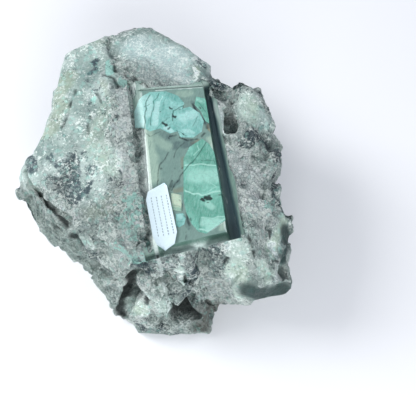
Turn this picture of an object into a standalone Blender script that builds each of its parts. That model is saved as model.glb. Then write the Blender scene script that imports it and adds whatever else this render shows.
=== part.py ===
"""A rough emerald specimen: milky green crystals in a broken block of schist and quartz.

The stone is a thick slab that overhangs its own foot. One window in its top is sawn round
and polished flat, and shows the crystals cut through. A paper tag lies on the window.

Metres, +Z up. The origin is the middle of the flat break that the stone rests on, +X is to
the right and +Y to the back. The values below are in millimetres and degrees, and MM turns
millimetres to metres.
"""
from math import radians

import bmesh
import bpy
import numpy as np
from mathutils import Vector

MM = 0.001
GAP = 0.3                      # clearance between pieces that touch in the real stone
WELD = 0.01                    # vertices closer than this are one
SEED = 7

# The body of the stone
HEART = (0.0, 0.0, 26.0)       # every point of the rough surface can be seen from here
SPHERE_LEVEL = 8               # subdivisions of the sphere that the surface starts from
EVEN_SIZE = 1.5                # size of the even faces that the shaped sphere is rebuilt from
ROCK_SHARE = 0.068             # share of the even faces kept after thinning
REACH_LIMITS = (8.0, 170.0)    # nearest and farthest that the surface may lie from the heart
HALVINGS = 24                  # steps that home in on the surface
WAIST_SHARE = 0.6              # how far out the underside is, half way from foot to rim
FLOOR_SPARE = 3.2              # rock below the rest plane, cut off flat afterwards
REST_SPAN = 150.0              # half the width, and the depth, of what is cut away below

# The widest line round the stone, anticlockwise from the left tip: x, y, z, and how many
# millimetres the side above it leans in for each millimetre of height.
RIM = (
    (-97, 3, 68, 0.50), (-95, -10, 62, 0.45), (-90, -17, 60, 0.45), (-78, -29, 57, 0.45),
    (-66, -38, 52, 0.40), (-58, -44, 48, 0.38), (-52, -49, 44, 0.36), (-47, -52, 40, 0.36),
    (-41, -60, 32, 0.34), (-37, -69, 22, 0.30), (-30, -73, 14, 0.28), (-22, -78, 7, 0.27),
    (-16, -83, 2, 0.28), (-12, -85, 2, 0.28), (1, -84, 1, 0.30), (11, -85, 1, 0.30),
    (24, -82, 3, 0.32), (28, -80, 6, 0.35), (31, -72, 16, 0.40), (35, -68, 32, 0.30),
    (43, -72, 37, 0.40), (53, -73, 41, 0.42), (59, -75, 42, 0.45), (65, -74, 44, 0.45),
    (76, -69, 46, 0.45), (81, -66, 47, 0.50), (82, -49, 53, 0.45), (80, -43, 55, 0.45),
    (82, -39, 56, 0.45), (83, -30, 58, 0.45), (77, -16, 60, 0.45), (75, -9, 61, 0.40),
    (71, -2, 62, 0.30), (72, 8, 63, 0.30), (74, 15, 64, 0.36), (76, 24, 65, 0.45),
    (74, 37, 66, 0.52), (71, 49, 67, 0.55), (66, 62, 70, 0.60), (61, 68, 72, 0.70),
    (49, 71, 75, 0.80), (37, 76, 73, 0.80), (31, 84, 73, 0.80), (26, 88, 74, 0.90),
    (21, 94, 75, 1.00), (8, 103, 77, 1.00), (1, 108, 78, 1.00), (-13, 115, 78, 1.00),
    (-26, 118, 78, 1.00), (-36, 111, 78, 1.00), (-52, 105, 78, 0.95), (-62, 102, 77, 0.85),
    (-69, 97, 76, 0.80), (-74, 86, 76, 0.75), (-76, 66, 76, 0.65), (-78, 46, 76, 0.55),
    (-81, 29, 74, 0.55), (-90, 20, 72, 0.60), (-94, 11, 70, 0.60),
)

# Corners of the flat break that the stone rests on
FOOT = (
    (-60, 2), (-50, -38), (-32, -64), (-16, -81), (11, -83), (25, -76), (34, -52),
    (54, -30), (58, 12), (36, 46), (-6, 56), (-46, 42),
)

# Broken faces of the top: a point on each, the bearing it looks to and its slope in degrees
FACES = (
    ((20, 0, 93), 0, 1),           # level top
    ((-28, 0, 91), 188, 12),       # weathered left face
    ((-10, 60, 91), 93, 11),       # sugary back face
    ((62, 5, 93), 2, 30),          # ridge down to the right side
    ((66, 52, 86), 35, 30),        # back right shoulder
    ((72, -41, 72), -15, 50),      # glassy face at the lower right
    ((60, -68, 62), -65, 62),      # glassy face at the front right
    ((20, -58, 85), -88, 60),      # front, right of the chimney
    ((-20, -59, 82), -115, 55),    # front, left of the chimney
    ((-61, -34, 76), -140, 58),    # edge of the layered rock at the lower left
)

# Hollows (positive depth) and swellings (negative), laid along lines on the surface:
# half width, depth, and the line's points
MARKS = (
    (15.0, -4.5, (50, 45, 92), (58, 34, 92)),                      # back of the right ridge
    (18.0, -6.0, (55, 16, 96), (59, 4, 94)),                       # its crest
    (15.0, -5.0, (50, -14, 96), (56, -24, 92)),                    # its front
    (4.0, 2.5, (-60, -33, 80), (-42, -47, 82)),                    # end of the slot
    (6.5, 13.0, (-18, -60, 70), (-22, -66, 48), (-30, -75, 14)),   # chimney in the front
    (11.0, 13.0, (12, -70, 36), (10, -74, 26)),                    # cave
    (9.0, 8.0, (36, -70, 22), (32, -70, 8)),                       # side under the overhang
    (9.0, 6.0, (31, 61, 89), (39, 55, 91)),                        # behind the white lump
    (4.5, 6.0, (43, 49, 93), (42, 26, 94)),                        # groove beside it
    (6.0, -4.5, (35, 45, 95), (35, 29, 95)),                       # the white lump
    (5.0, 3.0, (54, 58, 88), (66, 57, 84)),                        # above the smooth patch
    (2.4, 2.2, (-27, 78, 90), (-22, 66, 90), (-12, 58, 90)),       # below the back face
    (2.2, 1.2, (-70, 62, 84), (-72, 40, 80)),                      # left face
    (9.0, 1.6, (-44, 50, 90), (-48, 20, 88), (-52, 0, 86)),
    (2.8, 3.0, (63, -16, 84), (60, -30, 82), (60, -42, 78)),       # lower right
    (2.6, 3.0, (46, -57, 78), (40, -66, 58)),
    (3.4, 3.0, (58, -60, 66), (74, -56, 60)),
    (10.0, -3.0, (-21, -73, 22), (-17, -76, 14)),                  # boulder at the foot
    (2.6, 4.0, (-30, -70, 32), (-14, -71, 30), (-4, -77, 16)),     # crack above it
    (8.0, -3.5, (-8, -62, 70), (4, -80, 14)),                      # slab beside the cave
    (5.0, -3.0, (23, -76, 22), (25, -80, 8)),                      # three-cornered facet
    (16.0, -2.0, (-60, 62, 86), (-66, 30, 82)),                    # swell of the left face
    (10.0, -2.0, (-78, -2, 76), (-64, -20, 76)),
    (9.0, -2.0, (-34, -50, 84), (-44, -40, 82)),
)
MARK_CORE = 0.3                # share of a mark's width that has its full depth
MARK_PIECE = 6.0               # length of the pieces in which a line is laid on the surface

# Flat chips: where the rock broke in small faces. The first that holds a point decides:
# middle, radius, distance between chips, how far they tip in degrees, how much they show
CHIP_AREAS = (
    ((-62, 34, 84), 54, 26, 3.0, 0.45),     # weathered left face
    ((-6, 86, 86), 32, 24, 4.0, 0.5),       # sugary back face
    ((-2, 5, 90), 46, 12, 6.0, 0.9),        # round the window
    ((0, -70, 40), 66, 15, 13.0, 1.0),      # front
    ((60, 0, 80), 75, 14, 12.0, 1.0),       # right ridge
    ((0, 0, 0), 400, 21, 13.0, 1.0),        # everything else
)
CHIP_TRIES = 3600
CHIP_LIMIT = 4.0               # the most that a chip moves the surface
CHIP_STEP = 1.1                # how far chips stand above or below each other
CHIP_EDGE = 1.6                # width of the bevel where two chips meet
GRAZING = 0.35                 # chips seen flatter than this from the heart are left out
SLOPE_STEP = 1.0               # distance over which the surface's slope is measured

# Steps of the layered rock at the lower left, between two bearings
LAYER_BEARINGS = (-178.0, -122.0)
LAYER_FADE = 12.0
LAYER_THICKNESS = 6.5
LAYER_STEP = 1.8
LAYER_RANGE = (24.0, 76.0)

# The polished window: its corners, anticlockwise from the back left
WINDOW_HEIGHT = 90.0
WINDOW = ((-16.8, 55.9), (-5.1, -53.6), (38.1, -43.2), (23.7, 59.0))
# Saw cuts round it, in the same order: width of the wall and of the floor, each at both ends,
# width of the outer wall, depth, and how far the cut runs past each end
SAW_CUTS = (
    (7.4, 2.0, 1.0, 0.8, 2.0, 3.6, 9.0, 6.0),      # left
    (2.6, 2.6, 2.4, 2.4, 6.0, 7.0, 6.0, 7.0),      # front
    (2.2, 2.2, 5.4, 1.4, 5.0, 7.5, 5.0, 3.0),      # right
    (0.8, 0.8, 0.6, 0.6, 0.8, 1.4, 4.0, 5.0),      # back
)
CUTTER_HEIGHT = 22.0
GRIND_MARGIN = 0.8
# A blade that ran on down the front and left a thin kerf
KERF = ((-3.0, -56.0, 84.0), (2.0, -75.0, 44.0))
KERF_WIDTH = 1.2
KERF_DEPTH = 3.2
# The open slot where the layered rock parts from the left face: its line along the surface,
# the point that it runs in towards, and its width at the mouth and at the bottom
SLOT = ((-93.0, 3.0, 78.0), (-58.0, -35.0, 78.0))
SLOT_FOOT = (-46.0, 20.0, 52.0)
SLOT_DEPTH = 9.0
SLOT_WIDTHS = (6.0, 2.0)
SLOT_ABOVE = 9.0

# Crystals as the window cuts them: outline, and depth below the window
CRYSTALS = {
    "emerald_long": (
        ((23.2, 20.0), (15.5, 14.0), (12.0, 6.0), (12.4, -22.5), (14.3, -31.1), (17.6, -38.2),
         (21.6, -43.0), (26.0, -44.2), (37.6, -35.4), (37.4, -22.5), (33.4, 5.0), (27.6, 16.0)),
        13.0),
    "emerald_hexagonal": (
        ((8.3, 41.4), (15.3, 43.7), (21.2, 39.1), (24.0, 33.2), (22.8, 25.6), (17.5, 21.2),
         (9.9, 21.4), (4.0, 32.4)),
        12.0),
    "emerald_broad": (
        ((-11.0, 54.8), (-0.5, 55.4), (7.2, 52.0), (11.4, 46.4), (9.0, 37.0), (7.0, 32.0),
         (7.6, 25.8), (2.9, 24.3), (-3.6, 28.0), (-9.9, 25.8), (-14.4, 28.7), (-20.6, 30.0),
         (-21.4, 42.0), (-18.0, 50.0)),
        11.0),
    "emerald_corner": (
        ((19.2, 51.3), (24.8, 50.0), (27.3, 38.6), (27.4, 31.6), (25.6, 33.2), (22.6, 40.4),
         (18.6, 45.4)),
        6.0),
    "emerald_pale": (
        ((4.6, -17.8), (10.6, -19.1), (10.8, -30.0), (5.6, -29.0)), 6.0),
    "emerald_blue": (
        ((7.9, -31.7), (11.9, -31.4), (13.4, -34.3), (12.6, -38.2), (9.9, -40.0), (8.1, -39.5)),
        6.0),
}
GROWN_TOGETHER = ("emerald_broad", "emerald_hexagonal")
GROWN_NAME = "emerald_pair"
CRYSTAL_TAPER = 0.16           # how much narrower a crystal is at its lower end
CRYSTAL_SPARE = 1.0            # crystal above the window, cut off with the rock

# The paper tag
TAG = ((0.1, -11.5), (-9.5, -17.6), (-10.5, -22.9), (-5.5, -47.0), (-3.0, -52.0),
       (2.0, -55.6), (7.4, -51.2), (8.6, -43.8), (4.0, -22.9), (1.9, -13.5))
TAG_THICKNESS = 0.6

# sRGB colour, roughness
COLOURS = {
    "rock": ((0.50, 0.58, 0.54), 0.75),
    "crystal": ((0.45, 0.78, 0.68), 0.25),
    "tag": ((0.90, 0.95, 0.97), 0.80),
}


def make_material(name, look):
    """A Principled material from an sRGB colour and a roughness."""
    colour, roughness = COLOURS[look]
    linear = [c / 12.92 if c <= 0.04045 else ((c + 0.055) / 1.055) ** 2.4 for c in colour]
    material = bpy.data.materials.new(name)
    material.use_nodes = True
    shader = material.node_tree.nodes["Principled BSDF"]
    shader.inputs["Base Color"].default_value = (*linear, 1.0)
    shader.inputs["Roughness"].default_value = roughness
    shader.inputs["Metallic"].default_value = 0.0
    return material


def around(corners, bearings):
    """Reach and the other columns of a ring of corners, read at the given bearings."""
    corners = np.array(corners, float)
    angles = np.degrees(np.arctan2(corners[:, 1], corners[:, 0]))
    reach = np.hypot(corners[:, 0], corners[:, 1])
    order = np.argsort(angles)
    columns = [reach] + list(corners.T[2:])
    return [np.interp(bearings, angles[order], column[order], period=360) for column in columns]


def fade(value, start, end):
    """0 before start, 1 past end, and smooth between."""
    share = np.clip((value - start) / (end - start), 0.0, 1.0)
    return share * share * (3.0 - 2.0 * share)


def segment_distance(points, start, end):
    """Distance of each point from a straight segment."""
    start = np.array(start, float)
    along = np.array(end, float) - start
    share = np.clip(((points - start) @ along) / (along @ along), 0.0, 1.0)
    return np.linalg.norm(points - start - share[:, None] * along, axis=1)


def layer_steps(bearings, heights):
    """Saw-tooth ledges of the layered rock, fading out at both ends."""
    first, last = LAYER_BEARINGS
    low, high = LAYER_RANGE
    strength = fade(bearings, first, first + LAYER_FADE) * fade(bearings, last, last - LAYER_FADE)
    strength = strength * fade(heights, low, low + LAYER_THICKNESS)
    strength = strength * fade(heights, high, high - LAYER_THICKNESS)
    return LAYER_STEP * strength * ((heights / LAYER_THICKNESS) % 1.0 - 0.5)


def outside(points):
    """How far each point lies outside the rock, roughly in millimetres; negative is inside.

    The largest of: the side, whose reach at a bearing and height comes from the foot, the
    waist and the rim; the broken faces of the top; and the floor.
    """
    x, y, z = points.T
    bearings = np.degrees(np.arctan2(y, x))
    rim, rim_height, lean = around(RIM, bearings)
    foot = around(FOOT, bearings)[0]
    waist_height = 0.5 * rim_height
    waist = foot + WAIST_SHARE * (rim - foot)
    low = foot + (waist - foot) * z / waist_height
    middle = waist + (rim - waist) * (z - waist_height) / (rim_height - waist_height)
    high = rim - lean * (z - rim_height)
    reach = np.where(z > rim_height, high, np.where(z > waist_height, middle, low))
    result = np.hypot(x, y) - reach - layer_steps(bearings, z)
    for point, bearing, slope in FACES:
        tilt, turn = radians(slope), radians(bearing)
        normal = np.array((np.sin(tilt) * np.cos(turn), np.sin(tilt) * np.sin(turn), np.cos(tilt)))
        result = np.maximum(result, (points - np.array(point)) @ normal)
    return np.maximum(result, -z - FLOOR_SPARE)


def find_surface(directions):
    """Distance from the heart to the rock's surface in each direction, by halving."""
    heart = np.array(HEART)
    near = np.full(len(directions), REACH_LIMITS[0])
    far = np.full(len(directions), REACH_LIMITS[1])
    for _ in range(HALVINGS):
        middle = 0.5 * (near + far)
        inside = outside(heart + directions * middle[:, None]) < 0.0
        near = np.where(inside, middle, near)
        far = np.where(inside, far, middle)
    return 0.5 * (near + far)


def lay_line(points):
    """A line's points, closer together and moved from the heart on to the surface."""
    heart = np.array(HEART)
    corners = np.array(points, float)
    lengths = np.linalg.norm(np.diff(corners, axis=0), axis=1)
    places = np.concatenate(([0.0], np.cumsum(lengths)))
    pieces = max(1, int(round(places[-1] / MARK_PIECE)))
    steps = np.linspace(0.0, places[-1], pieces + 1)
    line = np.stack([np.interp(steps, places, column) for column in corners.T], axis=1)
    directions = (line - heart) / np.linalg.norm(line - heart, axis=1)[:, None]
    return heart + directions * find_surface(directions)[:, None]


def marked(directions, distances):
    """Surface points with the hollows pressed in and the swellings raised, square to it."""
    points = np.array(HEART) + directions * distances[:, None]
    normals = surface_normals(points)
    moved = points.copy()
    for half_width, depth, *line in MARKS:
        laid = lay_line(line)
        gaps = [segment_distance(points, start, end) for start, end in zip(laid, laid[1:])]
        strength = fade(np.min(gaps, axis=0), half_width, half_width * MARK_CORE)
        moved -= normals * (depth * strength)[:, None]
    return moved


def surface_normals(points):
    """Outward normals of the rock at surface points, from differences."""
    shifts = np.eye(3) * SLOPE_STEP
    slopes = [outside(points + shift) - outside(points - shift) for shift in shifts]
    normals = np.stack(slopes, axis=1)
    return normals / np.linalg.norm(normals, axis=1)[:, None]


def chip_area(points):
    """Index of the chip area that each point belongs to."""
    index = np.full(len(points), len(CHIP_AREAS) - 1)
    for number in reversed(range(len(CHIP_AREAS))):
        middle, radius = CHIP_AREAS[number][:2]
        index[np.linalg.norm(points - np.array(middle), axis=1) < radius] = number
    return index


def chip(directions, distances):
    """Cut the surface into flat chips: each point moves to the plane of its nearest chip."""
    random = np.random.default_rng(SEED)
    heart = np.array(HEART)
    points = heart + directions * distances[:, None]
    areas = np.array([area[2:] for area in CHIP_AREAS])
    spacing, tip, show = areas[chip_area(points)].T
    chosen = []
    for candidate in random.permutation(len(points))[:CHIP_TRIES]:
        gaps = np.linalg.norm(points[chosen] - points[candidate], axis=1)
        if not chosen or gaps.min() > spacing[candidate]:
            chosen.append(candidate)
    middles = points[chosen]
    normals = surface_normals(middles)
    normals = normals + random.normal(size=normals.shape) * np.radians(tip[chosen])[:, None]
    normals = normals / np.linalg.norm(normals, axis=1)[:, None]
    middles = middles + normals * random.uniform(-CHIP_STEP, CHIP_STEP, len(chosen))[:, None]
    first, second = np.zeros((2, len(points)), int)
    near, next_near = np.full((2, len(points)), np.inf)
    for number, middle in enumerate(middles):
        gap = np.linalg.norm(points - middle, axis=1)
        closest = gap < near
        closer = gap < next_near
        second = np.where(closest, first, np.where(closer, number, second))
        next_near = np.where(closest, near, np.where(closer, gap, next_near))
        first = np.where(closest, number, first)
        near = np.where(closest, gap, near)
    shifts = []
    for nearest in (first, second):
        normal = normals[nearest]
        facing = np.einsum("ij,ij->i", directions, normal)
        height = np.einsum("ij,ij->i", middles[nearest] - heart, normal)
        moved = height / np.maximum(facing, GRAZING)
        shift = np.clip(moved - distances, -CHIP_LIMIT, CHIP_LIMIT)
        shifts.append(shift * fade(facing, GRAZING, 2.0 * GRAZING))
    own_share = 0.5 + 0.5 * fade(next_near - near, 0.0, CHIP_EDGE)
    return distances + show * (own_share * shifts[0] + (1.0 - own_share) * shifts[1])


def add_modifier(target, kind, **settings):
    """Add a modifier with its settings."""
    modifier = target.modifiers.new(kind.title(), kind)
    for name, value in settings.items():
        setattr(modifier, name, value)
    return modifier


def cut(target, cutters):
    """Take each cutter away from the target."""
    for cutter in cutters:
        add_modifier(target, "BOOLEAN", operation="DIFFERENCE", object=cutter, solver="EXACT")


def place(thing, collection):
    """Move an object into one collection only."""
    for old in list(thing.users_collection):
        old.objects.unlink(thing)
    collection.objects.link(thing)


def make_cutter(thing, collection):
    """Mark an object as a cutter."""
    place(thing, collection)
    thing.hide_render = True
    thing.display_type = "WIRE"
    return thing


def block(name, corners):
    """A six-sided solid from a cube. Each corner is given by its signs along the three axes."""
    mesh = bpy.data.meshes.new(name)
    solid = bmesh.new()
    bmesh.ops.create_cube(solid, size=2.0)
    for vertex in solid.verts:
        signs = tuple(int(round(value)) for value in vertex.co)
        vertex.co = Vector(corners(*signs)) * MM
    solid.normal_update()
    bmesh.ops.recalc_face_normals(solid, faces=solid.faces)
    solid.to_mesh(mesh)
    solid.free()
    thing = bpy.data.objects.new(name, mesh)
    bpy.context.scene.collection.objects.link(thing)
    return thing


def grow(outline, distance):
    """Move each side of an anticlockwise or clockwise outline outwards."""
    points = np.array(outline, float)
    ahead = np.roll(points, -1, axis=0)
    area = np.sum(points[:, 0] * ahead[:, 1] - ahead[:, 0] * points[:, 1])
    along = ahead - points
    along /= np.linalg.norm(along, axis=1)[:, None]
    normals = np.stack((along[:, 1], -along[:, 0]), axis=1) * np.sign(area)
    before = np.roll(normals, 1, axis=0)
    mitre = (normals + before) / (1.0 + np.sum(normals * before, axis=1))[:, None]
    return points + distance * mitre


def outline_solid(name, outline, bottom, top):
    """A flat outline raised between two heights, as a mesh."""
    flat = bpy.data.curves.new(name, "CURVE")
    flat.dimensions = "2D"
    flat.fill_mode = "BOTH"
    flat.extrude = 0.5 * (top - bottom) * MM
    spline = flat.splines.new("POLY")
    spline.points.add(len(outline) - 1)
    for point, (x, y) in zip(spline.points, outline):
        point.co = (x * MM, y * MM, 0.0, 1.0)
    spline.use_cyclic_u = True
    guide = bpy.data.objects.new(name + "_outline", flat)
    guide.location.z = 0.5 * (top + bottom) * MM
    bpy.context.scene.collection.objects.link(guide)
    bpy.context.view_layer.update()
    mesh = bpy.data.meshes.new_from_object(guide.evaluated_get(bpy.context.evaluated_depsgraph_get()))
    solid = bmesh.new()
    solid.from_mesh(mesh)
    bmesh.ops.remove_doubles(solid, verts=solid.verts, dist=WELD * MM)
    bmesh.ops.recalc_face_normals(solid, faces=solid.faces)
    solid.to_mesh(mesh)
    solid.free()
    thing = bpy.data.objects.new(name, mesh)
    thing.matrix_world = guide.matrix_world
    bpy.context.scene.collection.objects.link(thing)
    bpy.data.objects.remove(guide)
    return thing


def crystal_solid(name, outline, depth, spare):
    """A crystal's prism. With spare it is the pocket that holds the crystal.

    It has its outline's size at the window, and is narrower below and wider above.
    """
    outline = grow(outline, spare)
    bottom = WINDOW_HEIGHT - depth - spare
    thing = outline_solid(name, outline, bottom, WINDOW_HEIGHT + CRYSTAL_SPARE)
    middle = np.mean(outline, axis=0) * MM
    for vertex in thing.data.vertices:
        level = CRYSTAL_SPARE if vertex.co.z > 0.0 else -depth - spare
        widening = CRYSTAL_TAPER * level / depth
        vertex.co.x += (vertex.co.x - middle[0]) * widening
        vertex.co.y += (vertex.co.y - middle[1]) * widening
    thing.data.update()
    return thing


def make_saw_cuts(cutters):
    """The four sloping cuts round the window, the ground top and the thin kerf."""
    made = []
    corners = [Vector(corner) for corner in WINDOW]
    for number, (*widths, outer, depth, before, after) in enumerate(SAW_CUTS):
        walls, floors = widths[:2], widths[2:]
        start = corners[number]
        end = corners[(number + 1) % len(corners)]
        along = (end - start).normalized()
        away = Vector((along.y, -along.x))
        start = start - along * before
        end = end + along * after

        def corner(run, side, level):
            wall, floor = (walls[1], floors[1]) if run > 0 else (walls[0], floors[0])
            height = CUTTER_HEIGHT if level > 0 else -depth
            inner = -wall / depth * height
            reach = inner if side < 0 else wall + floor + (outer if level > 0 else 0.0)
            place_at = (end if run > 0 else start) + away * reach
            return place_at.x, place_at.y, WINDOW_HEIGHT + height

        made.append(make_cutter(block("saw_cut_%d" % number, corner), cutters))
    ground = outline_solid("ground_top", grow(WINDOW, GRIND_MARGIN), WINDOW_HEIGHT,
                           WINDOW_HEIGHT + CUTTER_HEIGHT)
    made.append(make_cutter(ground, cutters))
    top, foot = Vector(KERF[0]), Vector(KERF[1])
    down = (foot - top).normalized()
    side = down.cross(Vector((0.0, 0.0, 1.0))).normalized()
    into = down.cross(side).normalized()

    def blade(run, width, depth):
        point = foot if run > 0 else top
        point = point + side * width * 0.5 * KERF_WIDTH + into * depth * KERF_DEPTH
        return tuple(point)

    return made, make_cutter(block("kerf", blade), cutters)


def make_slot(cutters):
    """A wedge that opens the slot at the left, pointing into the stone."""
    start, end = Vector(SLOT[0]), Vector(SLOT[1])
    along = (end - start).normalized()
    into = Vector(SLOT_FOOT) - 0.5 * (start + end)
    into = (into - along * into.dot(along)).normalized()
    side = along.cross(into)

    def corner(run, width, depth):
        point = end if run > 0 else start
        half = 0.5 * SLOT_WIDTHS[1 if depth > 0 else 0]
        return tuple(point + side * width * half + into * (SLOT_DEPTH if depth > 0 else -SLOT_ABOVE))

    return make_cutter(block("slot", corner), cutters)


def make_rock(cutters):
    """The rough rock: a sphere drawn out to the surface, chipped, thinned and cut flat below."""
    bpy.ops.mesh.primitive_ico_sphere_add(subdivisions=SPHERE_LEVEL, radius=1.0)
    rock = bpy.context.object
    rock.name = "matrix_rock"
    mesh = rock.data
    flat = np.empty(3 * len(mesh.vertices))
    mesh.vertices.foreach_get("co", flat)
    directions = flat.reshape(-1, 3)
    directions /= np.linalg.norm(directions, axis=1)[:, None]
    points = marked(directions, chip(directions, find_surface(directions)))
    mesh.vertices.foreach_set("co", (points * MM).ravel())
    mesh.update()
    add_modifier(rock, "REMESH", mode="VOXEL", voxel_size=EVEN_SIZE * MM, adaptivity=0.0)
    add_modifier(rock, "DECIMATE", ratio=ROCK_SHARE)

    def below(x, y, z):
        return x * REST_SPAN, y * REST_SPAN, 0.0 if z > 0 else -REST_SPAN

    cut(rock, [make_cutter(block("rest_plane", below), cutters)])
    return rock


def make_crystals(rock, saw_cuts, cutters, collection):
    """Each crystal in its pocket, trimmed by the same saw cuts as the rock."""
    made = {}
    for name, (outline, depth) in CRYSTALS.items():
        pocket = crystal_solid(name + "_pocket", outline, depth, GAP)
        cut(rock, [make_cutter(pocket, cutters)])
        crystal = crystal_solid(name, outline, depth, 0.0)
        if name not in GROWN_TOGETHER:
            cut(crystal, saw_cuts)
        place(crystal, collection)
        crystal.data.materials.append(make_material(name, "crystal"))
        made[name] = crystal
    whole, added = [made[name] for name in GROWN_TOGETHER]
    make_cutter(added, cutters)
    add_modifier(whole, "BOOLEAN", operation="UNION", object=added, solver="EXACT")
    cut(whole, saw_cuts)
    whole.name = GROWN_NAME


def main():
    """Clear the scene and build the stone, its crystals and its tag."""
    for thing in list(bpy.data.objects):
        bpy.data.objects.remove(thing)
    parts = bpy.data.collections.new("rough_emerald")
    cutters = bpy.data.collections.new("cutters")
    bpy.context.scene.collection.children.link(parts)
    bpy.context.scene.collection.children.link(cutters)
    rock = make_rock(cutters)
    place(rock, parts)
    rock.data.materials.append(make_material("schist_and_quartz", "rock"))
    saw_cuts, kerf = make_saw_cuts(cutters)
    make_crystals(rock, saw_cuts, cutters, parts)
    cut(rock, saw_cuts + [kerf, make_slot(cutters)])
    tag = outline_solid("paper_tag", TAG, WINDOW_HEIGHT + GAP, WINDOW_HEIGHT + GAP + TAG_THICKNESS)
    place(tag, parts)
    tag.data.materials.append(make_material("paper", "tag"))


main()
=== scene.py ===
"""Looks of a rough emerald specimen: milky green crystals in a broken block of schist and quartz.

The frame's solids give the place and size of everything. The stone and its crystals are redrawn
here with fine broken faces, flecks, cracks and a polish, and the tag as a sheet of stiff paper.
Lengths below are in millimetres, and MM turns them to metres.
"""
from itertools import product
from math import radians

import bpy
import numpy as np
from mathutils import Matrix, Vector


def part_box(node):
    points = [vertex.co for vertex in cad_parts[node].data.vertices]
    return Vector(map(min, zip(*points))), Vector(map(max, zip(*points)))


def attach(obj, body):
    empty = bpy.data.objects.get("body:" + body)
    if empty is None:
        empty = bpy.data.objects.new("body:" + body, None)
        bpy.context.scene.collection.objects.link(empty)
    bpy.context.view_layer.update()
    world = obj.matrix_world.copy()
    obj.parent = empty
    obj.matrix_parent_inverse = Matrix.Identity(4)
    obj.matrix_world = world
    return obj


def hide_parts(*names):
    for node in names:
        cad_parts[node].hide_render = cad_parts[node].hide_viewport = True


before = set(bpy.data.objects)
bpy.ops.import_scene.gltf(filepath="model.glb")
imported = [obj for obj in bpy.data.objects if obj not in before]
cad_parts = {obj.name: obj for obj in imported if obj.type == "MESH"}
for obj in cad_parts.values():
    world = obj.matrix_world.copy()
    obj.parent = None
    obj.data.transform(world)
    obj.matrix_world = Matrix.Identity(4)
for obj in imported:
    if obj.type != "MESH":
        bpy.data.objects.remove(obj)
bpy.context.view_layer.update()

MM = 0.001
SEED = 11

# The camera: where it stands, how far it tips up from looking straight down, and its lens
CAMERA_PLACE = (26.96, -194.9, 464.4)
CAMERA_TIP = 24.057
CAMERA_LENS = 58.85
SENSOR = 36.0

# The polished window: its corners anticlockwise from the back left, and the saw cuts round it:
# width of the wall and of the floor, each at both ends, width of the outer wall, depth, and how
# far the cut runs past each end
WINDOW_HEIGHT = 90.0
WINDOW = ((-16.8, 55.9), (-5.1, -53.6), (38.1, -43.2), (23.7, 59.0))
SAW_CUTS = (
    (7.4, 2.0, 1.0, 0.8, 2.0, 3.6, 9.0, 6.0),
    (2.6, 2.6, 2.4, 2.4, 6.0, 7.0, 6.0, 7.0),
    (2.2, 2.2, 5.4, 1.4, 5.0, 7.5, 5.0, 3.0),
    (0.8, 0.8, 0.6, 0.6, 0.8, 1.4, 4.0, 5.0),
)
SAW_HEIGHT = 22.0
SAW_SLACK = 0.12

# Colours of the broken rock
GROUND_DARK, GROUND_MIDDLE, GROUND_LIGHT = "#6F8A85", "#A5BEB6", "#D2E2DB"
# Facet colours: for the facets' random tone, and also for painted light on ridges and painted shade in
# hollows
FACET_DARK, FACET_LIGHT, SKIN = "#5B7572", "#D6E5DF", "#7F9A92"
BAND = "#7A958F"
OLIVE, BROWN, EMERALD_CRUMB = "#96A687", "#46443A", "#A4DED2"
SUGAR = "#AFC9C9"
PALE_COOL, PALE_WARM = "#A8C2BC", "#ADC3A4"
GLASSY_DARK, GLASSY_LIGHT = "#0A1F1E", "#1E403E"
LAYER_DARK, LAYER_LIGHT = "#506A67", "#C3D7CE"
QUARTZ_GREY, QUARTZ_WHITE, QUARTZ_GAP = "#B6CACA", "#F7FCFB", "#5F797A"
SPECK_DARK, SPECK_LIGHT = "#4F6A69", "#E9F4EE"
MICA_GREY, MICA_BLACK = "#607A7B", "#2C414A"
# SHADE is the colour of painted shade in hollows
SHADE, CRACK, RIM = "#0E1C1B", "#1A2829", "#E4F2EE"
# Colours of the polished and sawn rock
POLISH_DARK, POLISH_MIDDLE, POLISH_LIGHT = "#64827B", "#7A988F", "#93AFA5"
POLISH_OLIVE, POLISH_BROWN = "#B4CFBB", "#8A7A58"
SAWN_DARK, SAWN_LIGHT, SAWN_LINE = "#5F7B74", "#9BB8AC", "#4B625E"
SAWN_GREEN, SAWN_NAVY = "#557A6E", "#38515B"
# Colours in the crystals
CRYSTAL_CRACK, INK = "#2B5A50", "#1B2B29"
LONG_LIGHT, LONG_DEEP, LONG_MILK = "#84D2BF", "#468F7B", "#B9EBDD"
PAIR_LIGHT, PAIR_DEEP, PAIR_MILK_AND_PAINTED_LIGHT = "#98DAD2", "#589F96", "#C8F2EE"
PALE_LIGHT, PALE_DEEP, PALE_MILK = "#A3D0BE", "#6FA393", "#D8E6CC"
PAPER, PAPER_SHADE, PAPER_INK = "#DCEEF4", "#CCDFE8", "#66767F"
FLOOR, SKY = "#F4F5F8", "#EEF4FF"

# Lights: place in metres, size in metres, watts
SKY_STRENGTH = 0.5
FLOOR_SIZE = 6.0
LIGHTS = (
    ("window_light", (-1.1, 0.3, 1.1), 0.7, 15.5),
    ("front_fill", (0.2, -1.5, 0.8), 1.2, 22.5),
)

# Quartz has the first index and beryl the second. Fresh schist is rough, and what the saw and the
# polish left is smoother. Bumps are in millimetres, and the sawn one counts by a share
IOR_ROCK, IOR_BERYL = 1.54, 1.58
ROUGH_BROKEN, ROUGH_GLASSY, ROUGH_SAWN, ROUGH_POLISHED = 0.7, 0.38, 0.4, 0.22
ROUGH_BERYL, ROUGH_CARD, ROUGH_FLOOR = 0.16, 0.6, 0.9
SHINE_BROKEN, SHINE_GLASSY = 0.5, 0.2
ROCK_BUMP, SAWN_BUMP, SAWN_BUMP_SHARE = 1.5, 0.2, 0.35
# Light that goes into the milky crystals: its share, its reach in red, green and blue, its depth
GLOW_SHARE, GLOW_REACH, GLOW_DEPTH = 0.15, (0.4, 1.0, 0.8), 0.8

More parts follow.
